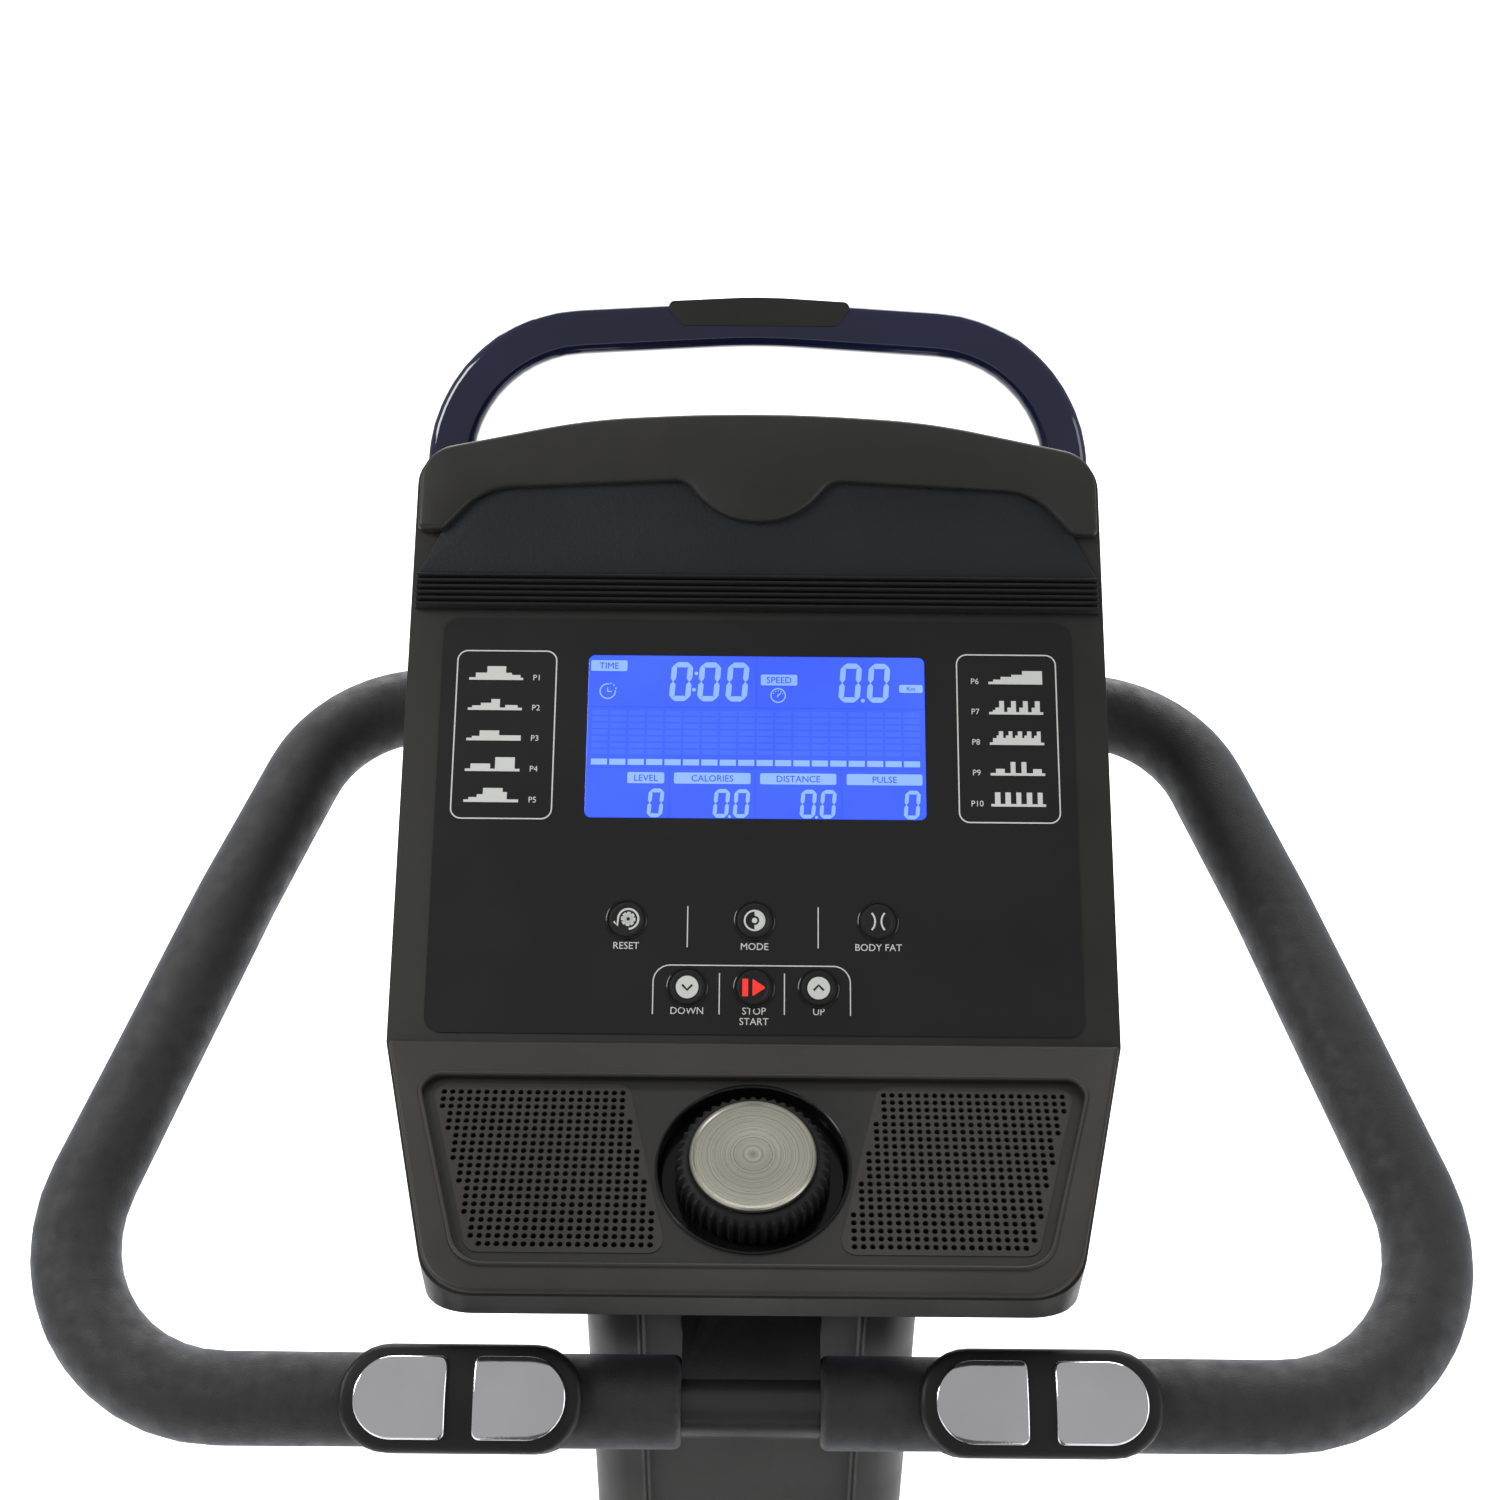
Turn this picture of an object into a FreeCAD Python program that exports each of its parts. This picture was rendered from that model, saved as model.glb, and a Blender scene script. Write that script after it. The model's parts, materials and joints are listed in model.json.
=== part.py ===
import FreeCAD, Part
import math
import os
import Sketcher
from FreeCAD import Placement, Rotation, Vector

"""Recumbent exercise bike. Millimetres. The rider faces +Y, +X is the rider's right, +Z is up.
The origin is on the floor, under the middle of the machine."""

doc = FreeCAD.newDocument("recumbent_bike")
dims = doc.addObject("Spreadsheet::Sheet", "dims")

DRIVING = {
    # whole machine
    "overall_length": 1570, "stabilizer_length": 600, "stabilizer_d": 60, "cap_wall": 4, "cap_end": 20,
    "gap": 0.3, "run_fit": 0.05, "skin": 3, "tube_wall": 2.5,
    # base and rail
    "beam_width": 60, "beam_tall": 60, "beam_floor_gap": 70, "stabilizer_floor_gap": 26, "foot_d": 44,
    "foot_pad": 10, "wheel_d": 56, "wheel_width": 22, "wheel_axle_d": 10, "wheel_reach": 62,
    "rail_width": 56, "rail_tall": 40, "rail_length": 760, "rail_rear": -700, "rail_floor_gap": 300,
    "rail_tilt": 5, "seat_travel": 250,
    # seat
    "seat_width": 430, "seat_depth": 400, "cushion_thick": 68, "seat_rear": -530, "seat_lift": 70,
    "back_width": 410, "back_tall": 500, "back_lean": 22, "back_cushion_thick": 62, "shell_thick": 8,
    "seat_bar_d": 28, "seat_grip_d": 36, "seat_bar_out": 275, "seat_bar_up": 190, "lever_length": 130,
    # drive
    "crank_y": 430, "crank_up": 330, "crank_arm": 165, "crank_axle_d": 20, "crank_side": 82, "arm_thick": 14,
    "pedal_width": 95, "pedal_long": 100, "pedal_thick": 24, "pulley_d": 220, "belt_width": 12,
    "belt_thick": 3, "belt_x": 32, "flywheel_y": 645, "flywheel_up": 262, "flywheel_d": 200,
    "flywheel_thick": 34, "flywheel_x": -46, "small_pulley_d": 62, "flywheel_axle_d": 15,
    "cover_half": 71, "fork_plate": 5, "magnet_gap": 4,
    # mast and handlebar
    "bar_y": 60, "bar_up": 876, "mast_lean": 22, "mast_d": 50, "mast_above_bar": 42, "mast_behind": 74,
    "mast_foot_up": 300, "socket_wall": 4, "mast_cover_width": 143, "mast_cover_deep": 84,
    "mast_cover_over": 20, "channel_width": 95, "channel_deep": 8, "bar_d": 28.6, "foam_d": 38,
    "foam_start": 29,
    "bar_bend": 74, "bar_top_bend": 65, "bar_half": 321.5, "bar_top_half": 212, "bar_rise": 351,
    "bar_pitch": 43.3, "post_width": 58, "post_deep": 26, "sensor_x": 119,
    "sensor_length": 100, "sensor_tall": 43, "sensor_out": 26, "sensor_arch": 60, "plate_long": 38,
    "plate_tall": 33, "plate_gap": 11,
    # console
    "face_up_from_bar": 253.8, "face_ahead_of_bar": 139.5, "face_pitch": 60.4, "panel_pitch": 32,
    "console_half": 161, "face_top": 160.7, "face_shoulder": 138, "face_kink": 140.4, "panel_long": 122,
    "panel_low_half": 130, "front_deep": 20, "console_deep": 48, "low_lip": 14, "low_slant": 80,
    "overlay_half": 145, "overlay_top": 56,
    "overlay_low": 136, "overlay_thick": 0.8, "lcd_width": 155, "lcd_tall": 77.5, "button_d": 15.5,
    "button_travel": 0.8, "knob_down": 62, "knob_d": 64, "knob_cap_d": 53, "knob_tall": 15,
    "well_d": 80, "well_deep": 9,
    "shaft_d": 6, "board_back": 16, "grille_thick": 2,
    # hoop
    "hoop_half": 157, "hoop_lean": 12.4, "hoop_rise": 188, "hoop_arch": 9, "hoop_start": -6,
    "hoop_band": 23, "hoop_thick": 18, "hoop_bend": 70, "grip_top": 97, "grip_low": 79, "grip_tall": 12,
    "grip_proud": 0.6,
}
for row, (alias, value) in enumerate(DRIVING.items(), start=1):
    dims.set(f"A{row}", alias)
    dims.set(f"B{row}", str(value))
    dims.setAlias(f"B{row}", alias)
doc.recompute()


def size(alias):
    """One driving dimension, read back from the sheet."""
    return float(dims.get(alias))


X_AXIS = Vector(1, 0, 0)
Y_AXIS = Vector(0, 1, 0)
Z_AXIS = Vector(0, 0, 1)
sub_parts = []


# ---------------------------------------------------------------- helpers

def primitive(kind, name, **rules):
    """A Part primitive whose sizes are formulas on the sheet."""
    item = doc.addObject("Part::" + kind, name)
    for prop, rule in rules.items():
        item.setExpression(prop, str(rule))
    return item


def along(axis):
    """The turn that takes +Z to the given axis."""
    return Rotation(Z_AXIS, axis)


def rod(name, radius, length, middle, axis):
    """A cylinder with its middle at a point and its length along an axis."""
    item = primitive("Cylinder", name, Radius=radius, Height=length)
    doc.recompute()
    axis = Vector(axis).normalize()
    item.Placement = Placement(Vector(middle) - axis * (item.Height.Value / 2), along(axis))
    return item


def block(name, wide, long, tall, middle, turn=None):
    """A box with its middle at a point, turned about that point."""
    item = primitive("Box", name, Length=wide, Width=long, Height=tall)
    doc.recompute()
    turn = turn or Rotation()
    half = Vector(item.Length.Value, item.Width.Value, item.Height.Value) * 0.5
    item.Placement = Placement(Vector(middle) - turn.multVec(half), turn)
    return item


def joined(name, *items):
    """Several overlapping objects made one."""
    item = doc.addObject("Part::MultiFuse", name)
    item.Shapes = list(items)
    item.Refine = True
    return item


def without(name, base, *tools):
    """A base object with tools taken out of it."""
    for index, tool in enumerate(tools):
        item = doc.addObject("Part::Cut", f"{name}_{index}")
        item.Base = base
        item.Tool = tool
        base = item
    return base


def group(name, *items):
    """Separate solids kept in one node."""
    item = doc.addObject("Part::Compound", name)
    item.Links = list(items)
    return item


def shaped(name, shape, place=None):
    """A feature for a shape made with Part's own functions."""
    item = doc.addObject("Part::Feature", name)
    item.Shape = shape
    if place:
        item.Placement = place
    return item


def mirrored(name, item):
    """The same piece on the other side of the machine."""
    other = doc.addObject("Part::Mirroring", name)
    other.Source = item
    other.Normal = X_AXIS
    other.Base = Vector(0, 0, 0)
    return other


def sub_part(label, item):
    """Names an object as one piece of the machine."""
    item.Label = label
    sub_parts.append(item)
    return item


def sketch_on(body, name, role, corners):
    """A closed sketch of straight lines. Each corner is a pair of formulas."""
    sketch = body.newObject("Sketcher::SketchObject", name)
    plane = [item for item in body.Origin.OriginFeatures if item.Role == role][0]
    sketch.AttachmentSupport = [(plane, "")]
    sketch.MapMode = "FlatFace"
    spots = [Vector(float(evaluate(across)), float(evaluate(up)), 0) for across, up in corners]
    for here, there in zip(spots, spots[1:] + spots[:1]):
        sketch.addGeometry(Part.LineSegment(here, there), False)
    for index, (across, up) in enumerate(corners):
        sketch.addConstraint(Sketcher.Constraint("Coincident", index, 2, (index + 1) % len(corners), 1))
        for kind, rule, value in (("X", across, spots[index].x), ("Y", up, spots[index].y)):
            key = f"{kind.lower()}{index}"
            if abs(value) < 1e-9:
                axis = -2 if kind == "X" else -1
                sketch.addConstraint(Sketcher.Constraint("PointOnObject", index, 1, axis))
                continue
            place = sketch.addConstraint(Sketcher.Constraint("Distance" + kind, -1, 1, index, 1, value))
            sketch.renameConstraint(place, key)
            sketch.setExpression("Constraints." + key, str(rule))
    return sketch


def evaluate(rule):
    """The value of a formula on the sheet, worked out by the document itself."""
    return dims.evalExpression(str(rule))


def turned_body(name, corners):
    """A PartDesign body of revolution about its own Y axis. Corners are (radius, height) formulas."""
    body = doc.addObject("PartDesign::Body", name)
    sketch = sketch_on(body, name + "_sketch", "XY_Plane", corners)
    spin = body.newObject("PartDesign::Revolution", name + "_spin")
    spin.Profile = sketch
    spin.ReferenceAxis = (sketch, ["V_Axis"])
    spin.Angle = 360
    doc.recompute()
    return body


def rounded_path(points, bends):
    """Straight runs joined by tangent arcs: one bend radius for each inner point."""
    edges = []
    start = points[0]
    for before, corner, after, bend in zip(points, points[1:], points[2:], bends):
        come = (corner - before).normalize()
        leave = (after - corner).normalize()
        half = come.getAngle(leave) / 2
        reach = bend * math.tan(half)
        first = corner - come * reach
        last = corner + leave * reach
        inward = (leave - come).normalize()
        middle = corner + inward * (bend / math.cos(half) - bend)
        edges.append(Part.LineSegment(start, first).toShape())
        edges.append(Part.Arc(first, middle, last).toShape())
        start = last
    edges.append(Part.LineSegment(start, points[-1]).toShape())
    return Part.Wire(edges)


def swept(path, radius):
    """A round bar along a path."""
    start = path.Edges[0]
    ring = Part.Wire(Part.makeCircle(radius, start.valueAt(start.FirstParameter),
                                     start.tangentAt(start.FirstParameter)))
    return path.makePipeShell([ring], True, False)


def rounded_outline(corners, level=0):
    """A flat closed outline from (x, y, radius) corners; radius 0 leaves a sharp corner."""
    spots = [Vector(across, up, level) for across, up, _ in corners]
    edges = []
    ends = []
    for index, (_, _, bend) in enumerate(corners):
        corner = spots[index]
        come = (corner - spots[index - 1]).normalize()
        leave = (spots[(index + 1) % len(spots)] - corner).normalize()
        half = come.getAngle(leave) / 2
        reach = bend * math.tan(half)
        ends.append((corner - come * reach, corner + leave * reach))
        if bend:
            middle = corner + (leave - come).normalize() * (bend / math.cos(half) - bend)
            edges.append(Part.Arc(ends[-1][0], middle, ends[-1][1]).toShape())
    runs = []
    for index, (_, last) in enumerate(ends):
        first_of_next = ends[(index + 1) % len(ends)][0]
        if last.distanceToPoint(first_of_next) > 1e-6:
            runs.append(Part.LineSegment(last, first_of_next).toShape())
    return Part.Wire(Part.__sortEdges__(edges + runs))


def slab(corners, low, high):
    """A flat plate with a rounded outline, from one height to another."""
    return Part.Face(rounded_outline(corners, low)).extrude(Vector(0, 0, high - low))


def oblong(half_wide, half_tall, bend, across=0, up=0):
    """The four corners of a rounded rectangle."""
    return [(across - half_wide, up - half_tall, bend), (across + half_wide, up - half_tall, bend),
            (across + half_wide, up + half_tall, bend), (across - half_wide, up + half_tall, bend)]


# ---------------------------------------------------------------- base

half_length = size("overall_length") / 2
gap = size("gap")
skin = size("skin")
beam_mid = size("beam_floor_gap") + size("beam_tall") / 2
cap_radius = size("stabilizer_d") / 2 + size("cap_wall")
tube_up = size("stabilizer_floor_gap") + size("stabilizer_d") / 2
rear_y = cap_radius - half_length
wheel_y = half_length - size("wheel_d") / 2
front_y = wheel_y - size("wheel_reach")
beam_touch = size("stabilizer_d") / 2 - 4


def cross_tube(name, middle_y):
    """A hollow stabilizer tube lying across the machine."""
    outer = rod(name + "_outer", "dims.stabilizer_d / 2", "dims.stabilizer_length", (0, middle_y, tube_up),
                X_AXIS)
    inner = rod(name + "_inner", "dims.stabilizer_d / 2 - dims.tube_wall", "dims.stabilizer_length + 10",
                (0, middle_y, tube_up), X_AXIS)
    return without(name, outer, inner)


def end_cap(name, middle_y, side):
    """A rubber cup over a stabilizer's end, with a plug's worth of thickness beyond the tube."""
    cup = rod(name + "_cup", "dims.stabilizer_d / 2 + dims.cap_wall", "3 * dims.cap_end",
              (side * (size("stabilizer_length") / 2 - size("cap_end") / 2), middle_y, tube_up), X_AXIS)
    seat = rod(name + "_seat", "dims.stabilizer_d / 2", "dims.stabilizer_length", (0, middle_y, tube_up),
                X_AXIS)
    return without(name, cup, seat)


caps = [end_cap(f"cap_{number}", middle_y, side)
        for number, (middle_y, side) in enumerate([(rear_y, -1), (rear_y, 1), (front_y, -1), (front_y, 1)])]


def foot(name, spot_x, spot_y):
    """A rubber pad under a stud that screws into the underside of a stabilizer."""
    stud = rod(name + "_stud", 5, "dims.stabilizer_floor_gap - dims.foot_pad - dims.gap",
               (spot_x, spot_y, (size("stabilizer_floor_gap") + size("foot_pad") - gap) / 2), Z_AXIS)
    pad = rod(name + "_pad", "dims.foot_d / 2", "dims.foot_pad", (spot_x, spot_y, size("foot_pad") / 2),
              Z_AXIS)
    return joined(name, stud, pad)


foot_x = size("stabilizer_length") / 2 - 70
foot_right = foot("foot_solid", foot_x, rear_y)
sub_part("levelling_foot_right", foot_right)
sub_part("levelling_foot_left", mirrored("foot_solid_left", foot_right))


def front_pad(name, side):
    """A fixed rubber block between the front stabilizer and the floor."""
    pad = block(name + "_block", 60, 40, "dims.stabilizer_floor_gap + 12",
                (side * foot_x, front_y, size("stabilizer_floor_gap") / 2 + 6))
    seat = rod(name + "_seat", "dims.stabilizer_d / 2", 100, (side * foot_x, front_y, tube_up), X_AXIS)
    return without(name, pad, seat)


sub_part("stabilizer_end_caps", group("rubber_parts", *caps, front_pad("front_pad_left", -1),
                                      front_pad("front_pad_right", 1)))

wheel_up = size("wheel_d") / 2 + 6
wheel_x = size("stabilizer_length") / 2 - 150
fork_gap = size("wheel_width") / 2 + 1.5


def transport_wheel(name, side):
    """A small wheel that reaches the floor when the rear is lifted."""
    tyre = rod(name + "_tyre", "dims.wheel_d / 2", "dims.wheel_width",
               (side * wheel_x, wheel_y, wheel_up), X_AXIS)
    bore = rod(name + "_bore", "dims.wheel_axle_d / 2 + dims.run_fit", "dims.wheel_width + 2",
               (side * wheel_x, wheel_y, wheel_up), X_AXIS)
    return without(name, tyre, bore)


def wheel_fork(name, side):
    """Two ears from the front stabilizer to the wheel's axle bolt."""
    ears = []
    length = size("wheel_reach") - size("stabilizer_d") / 2 + 18
    for ear in (-1, 1):
        middle = (side * wheel_x + ear * (fork_gap + 2), wheel_y + 8 - length / 2, wheel_up + 2)
        ears.append(block(f"{name}_ear{ear + 1}", 4, length, 20, middle))
    hole = rod(name + "_hole", "dims.wheel_axle_d / 2", "dims.wheel_width + 40",
               (side * wheel_x, wheel_y, wheel_up), X_AXIS)
    tube = rod(name + "_tube", "dims.stabilizer_d / 2 - dims.tube_wall", "dims.stabilizer_length",
               (0, front_y, tube_up), X_AXIS)
    return without(name, joined(name + "_ears", *ears), hole, tube)


def wheel_bolt(name, side):
    """The wheel's axle: a bolt through both ears."""
    shank = rod(name + "_shank", "dims.wheel_axle_d / 2", "dims.wheel_width + 16",
                (side * wheel_x, wheel_y, wheel_up), X_AXIS)
    head = rod(name + "_head", "dims.wheel_axle_d / 2 + 4", 5,
               (side * (wheel_x + fork_gap + 4 + 2.5), wheel_y, wheel_up), X_AXIS)
    return joined(name, shank, head)


for word, side in (("left", -1), ("right", 1)):
    sub_part("transport_wheel_" + word, transport_wheel("wheel_" + word, side))
front_weld = joined("front_weld", cross_tube("front_tube", front_y), wheel_fork("fork_left", -1),
                    wheel_fork("fork_right", 1))
sub_part("stabilizers", group("stabilizer_pair", cross_tube("rear_tube", rear_y), front_weld))
bolts = [wheel_bolt("wheel_bolt_left", -1), wheel_bolt("wheel_bolt_right", 1)]

# the welded frame: a low beam, a rear post and a front post under the rail, and the drive's supports
rail_slope = math.radians(size("rail_tilt"))
rail_turn = Rotation(X_AXIS, -size("rail_tilt"))
rail_ahead = rail_turn.multVec(Y_AXIS)
rail_above = rail_turn.multVec(Z_AXIS)
rail_start = Vector(0, size("rail_rear"), size("rail_floor_gap") + size("rail_tall"))
rail_middle = rail_start + rail_ahead * (size("rail_length") / 2)


def hollow_box(name, wide, long, tall, middle, open_along, turn=None):
    """A rectangular tube: a box with a smaller box taken out along one of its own directions."""
    walls = "2 * dims.tube_wall"
    outer = block(name + "_outer", wide, long, tall, middle, turn)
    inner_sizes = [f"{rule} - {walls}" if letter != open_along else f"{rule} + 4"
                   for letter, rule in zip("XYZ", (wide, long, tall))]
    inner = block(name + "_inner", *inner_sizes, middle, turn)
    return without(name, outer, inner)


def rail_under(at_y):
    """The height of the rail's underside above a place on the floor."""
    drop = (at_y - rail_start.y) * math.tan(rail_slope)
    return rail_start.z - drop - size("rail_tall") / math.cos(rail_slope)


beam_start = rear_y + beam_touch
beam_end = front_y - beam_touch
beam = hollow_box("beam", "dims.beam_width", beam_end - beam_start, "dims.beam_tall",
                  (0, (beam_start + beam_end) / 2, beam_mid), "Y")
beam_top = size("beam_floor_gap") + size("beam_tall")
posts = []
rail_front = size("rail_rear") + size("rail_length")
for word, post_y in (("rear", size("rail_rear") + 70), ("front", rail_front - 50)):
    top = rail_under(post_y - 24) + 8
    tall = top - beam_top + 2
    posts.append(hollow_box(word + "_post", 48, 48, tall, (0, post_y, beam_top - 2 + tall / 2), "Z"))
rail_space = block("rail_space", "dims.rail_width + 60", "dims.rail_length + 200", "dims.rail_tall",
                   rail_middle - rail_above * (size("rail_tall") / 2), rail_turn)

crank = Vector(0, size("crank_y"), size("crank_up"))
flywheel_spot = Vector(0, size("flywheel_y"), size("flywheel_up"))
shell_low, shell_high = -44, 26
bracket_tube = rod("crank_tube", 23, shell_high - shell_low, crank + X_AXIS * ((shell_low + shell_high) / 2),
                   X_AXIS)
bracket_bore = rod("crank_tube_bore", "dims.crank_axle_d / 2 + dims.run_fit", 200, crank, X_AXIS)
crank_post_tall = crank.z - 20 - beam_top + 4
crank_post = hollow_box("crank_post", 40, 60, crank_post_tall,
                        (-18, crank.y, beam_top - 2 + crank_post_tall / 2), "Z")
plates = []
for side, plate_x in ((-1, size("flywheel_x") - size("fork_plate") / 2 - 6), (1, 56)):
    plate_tall = flywheel_spot.z + 22 - size("beam_floor_gap") - 20
    middle = (plate_x, flywheel_spot.y, size("beam_floor_gap") + 20 + plate_tall / 2)
    plates.append(block(f"fork_plate_{side + 1}", "dims.fork_plate", 44, plate_tall, middle))
    rib_x = (plate_x + math.copysign(26, plate_x)) / 2
    plates.append(block(f"fork_rib_{side + 1}", abs(plate_x) - 26, 44, 6,
                        (rib_x, flywheel_spot.y, size("beam_floor_gap") + 23)))
plate_holes = rod("fork_holes", "dims.flywheel_axle_d / 2", 200, flywheel_spot, X_AXIS)

lean = math.radians(size("mast_lean"))
mast_way = Vector(0, -math.sin(lean), math.cos(lean))
bar = Vector(0, size("bar_y"), size("bar_up"))
mast_top = bar + Vector(0, size("mast_behind"), 0)
mast_foot = mast_top - mast_way * ((mast_top.z - size("mast_foot_up")) / math.cos(lean))
mast_end = mast_top + mast_way * size("mast_above_bar")
mast_long = (mast_end - mast_foot).Length
socket_long = 110
socket = rod("mast_socket", "dims.mast_d / 2 + dims.socket_wall", socket_long,
             mast_foot + mast_way * (socket_long / 2 - 6), mast_way)
mast_post_tall = mast_foot.z - beam_top + 30
mast_post = hollow_box("mast_post", 44, 44, mast_post_tall,
                       (0, mast_foot.y - 4, beam_top - 2 + mast_post_tall / 2), "Z")
frame_weld = joined("frame_weld", beam, *posts, bracket_tube, crank_post, *plates, mast_post, socket)
ends = rod("rear_end_clear", "dims.stabilizer_d / 2", 200, (0, rear_y, tube_up), X_AXIS)
ends_front = rod("front_end_clear", "dims.stabilizer_d / 2", "dims.stabilizer_length", (0, front_y, tube_up),
                 X_AXIS)
mast_space = rod("mast_space", "dims.mast_d / 2", mast_long, (mast_end + mast_foot) / 2, mast_way)
sub_part("main_frame", without("frame_cut", frame_weld, ends, ends_front, rail_space, bracket_bore,
                               plate_holes, mast_space))

# ---------------------------------------------------------------- seat rail and seat

rail = hollow_box("rail", "dims.rail_width", "dims.rail_length", "dims.rail_tall",
                  rail_middle - rail_above * (size("rail_tall") / 2), "Y", rail_turn)
sub_part("seat_rail", rail)

seat_mid_y = size("seat_rear") + size("seat_depth") / 2
carriage_long = 260
carriage_wall = 6


def on_rail(at_y):
    """The point on the rail's top, on the middle line, above a place on the floor."""
    return rail_start + rail_ahead * ((at_y - rail_start.y) / math.cos(rail_slope))


carriage_spot = on_rail(seat_mid_y - 40)
saddle = block("saddle", f"dims.rail_width + 2 * dims.gap + {2 * carriage_wall}", carriage_long,
               f"dims.rail_tall + {carriage_wall}",
               carriage_spot + rail_above * ((carriage_wall - size("rail_tall")) / 2 + gap), rail_turn)
saddle_slot = block("saddle_slot", "dims.rail_width + 2 * dims.gap", carriage_long + 10, "dims.rail_tall + 40",
                    carriage_spot - rail_above * ((size("rail_tall") + 40) / 2 - gap), rail_turn)
lever_side = size("rail_width") / 2 + gap + carriage_wall
lever_spot = carriage_spot - rail_above * 16 + rail_ahead * 60
pivot_pin = rod("pivot_pin", 4, 18, lever_spot + X_AXIS * (lever_side + 8), X_AXIS)
sub_part("seat_carriage", joined("carriage_weld", without("saddle_cut", saddle, saddle_slot), pivot_pin))

lever_boss = rod("lever_boss", 11, 12, lever_spot + X_AXIS * (lever_side + gap + 6), X_AXIS)
lever_bar = block("lever_bar", 8, "dims.lever_length", 14,
                  lever_spot + X_AXIS * (lever_side + gap + 6) + Y_AXIS * (size("lever_length") / 2))
lever_grip = rod("lever_grip", 9, 110, lever_spot + X_AXIS * (lever_side + 50)
                 + Y_AXIS * size("lever_length"), X_AXIS)
lever_bore = rod("lever_bore", "4 + dims.run_fit", 60, lever_spot + X_AXIS * lever_side, X_AXIS)
lever_weld = joined("lever_weld", lever_boss, lever_bar, lever_grip)
sub_part("seat_lever", without("lever_cut", lever_weld, lever_bore))

shell_low = on_rail(size("seat_rear")).z + size("seat_lift")
shell_spot = Vector(0, seat_mid_y, shell_low)
seat_outline = oblong(size("seat_width") / 2, size("seat_depth") / 2, 60)
shell_outline = oblong(size("seat_width") / 2 - 12, size("seat_depth") / 2 - 12, 50)
sub_part("seat_shell", shaped("seat_shell_plate", slab(shell_outline, 0, size("shell_thick")),
                              Placement(shell_spot, Rotation())))


def cushion(name, outline, thick, place, bend):
    """A plain closed pad with rounded upper edges."""
    pad = slab(outline, size("shell_thick"), size("shell_thick") + thick)
    top = [edge for edge in pad.Edges if edge.BoundBox.ZMin > size("shell_thick") + thick - 0.01]
    return shaped(name, pad.makeFillet(bend, top), place)


sub_part("seat_cushion", cushion("seat_pad", seat_outline, size("cushion_thick"),
                                 Placement(shell_spot, Rotation()), 20))

# the backrest's own frame: its Y runs up the back, its Z points at the rider
back_up = Vector(0, -math.sin(math.radians(size("back_lean"))), math.cos(math.radians(size("back_lean"))))
back_out = Vector(0, math.cos(math.radians(size("back_lean"))), math.sin(math.radians(size("back_lean"))))
back_turn = Rotation(X_AXIS * -1, back_up, back_out, "ZXY")
back_low = Vector(0, size("seat_rear") - 20, shell_low + 30)
back_middle = back_low + back_up * (50 + size("back_tall") / 2) - back_out * 12
back_place = Placement(back_middle, back_turn)
back_outline = oblong(size("back_width") / 2, size("back_tall") / 2, 80)
back_shell_outline = oblong(size("back_width") / 2 - 12, size("back_tall") / 2 - 12, 70)
sub_part("backrest_shell", shaped("back_plate", slab(back_shell_outline, 0, size("shell_thick")), back_place))
sub_part("backrest_cushion", cushion("back_pad", back_outline, size("back_cushion_thick"), back_place, 20))

bar_low = Vector(0, seat_mid_y - 70, shell_low - size("seat_bar_d") / 2 - 4)
out = size("seat_bar_out")
grip_front = seat_mid_y + 130
grip_up = shell_low + size("seat_bar_up")
side_path = rounded_path([Vector(-out, grip_front, grip_up), Vector(-out, bar_low.y, grip_up),
                          Vector(-out, bar_low.y, bar_low.z), Vector(out, bar_low.y, bar_low.z),
                          Vector(out, bar_low.y, grip_up), Vector(out, grip_front, grip_up)], [60] * 4)
seat_bar_solid = swept(side_path, size("seat_bar_d") / 2)
seat_bar_inside = swept(side_path, size("seat_bar_d") / 2 - size("tube_wall"))
sub_part("seat_handlebar", shaped("seat_bar", seat_bar_solid.cut(seat_bar_inside)))


def sleeve(name, outer, inner, length, middle, axis):
    """A round sleeve with a bore."""
    return without(name, rod(name + "_outer", outer, length, middle, axis),
                   rod(name + "_inner", inner, f"({length}) + 2", middle, axis))


seat_grip_long = 125
seat_grips = [sleeve(f"seat_grip_{side + 1}", "dims.seat_grip_d / 2", "dims.seat_bar_d / 2", seat_grip_long,
                     (side * out, grip_front - seat_grip_long / 2, grip_up), Y_AXIS) for side in (-1, 1)]
sub_part("seat_grips", group("seat_grip_pair", *seat_grips))

# the seat's steel frame: a pedestal on the carriage, two cross tubes, two side tubes and two back uprights
frame_low = shell_low - 22
pedestal_tall = shell_low - carriage_spot.z + 40
pedestal = block("pedestal", 60, 240, pedestal_tall, (0, carriage_spot.y, shell_low - pedestal_tall / 2))
cross_bars = [block(f"seat_cross_{number}", 340, 30, 22, (0, seat_mid_y + at, shell_low - 11))
              for number, at in enumerate((-150, 120))]
upright_spot = back_middle - back_out * 9
upright_top = upright_spot + back_up * (size("back_tall") / 2 - 50)
upright_end = upright_spot - back_up * ((upright_spot.z - frame_low) / back_up.z)
upright_long = (upright_top - upright_end).Length
uprights = []
for side in (-1, 1):
    aside = X_AXIS * (side * 110)
    uprights.append(block(f"upright_{side + 1}", 30, 18, upright_long,
                          (upright_top + upright_end) / 2 + aside, Rotation(X_AXIS, size("back_lean"))))
    uprights.append(block(f"side_tube_{side + 1}", 30, seat_mid_y + 130 - upright_end.y, 22,
                          Vector(0, (seat_mid_y + 130 + upright_end.y) / 2 - 6, shell_low - 11) + aside))
carriage_space = block("carriage_space", "dims.rail_width + 60", carriage_long + 200, "200",
                       carriage_spot + rail_above * (carriage_wall + gap - 100), rail_turn)
floor_trim = block("floor_trim", 400, 900, 60, (0, seat_mid_y - 100, frame_low - 30))
seat_tubes = joined("seat_tubes", *cross_bars, *uprights)
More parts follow.
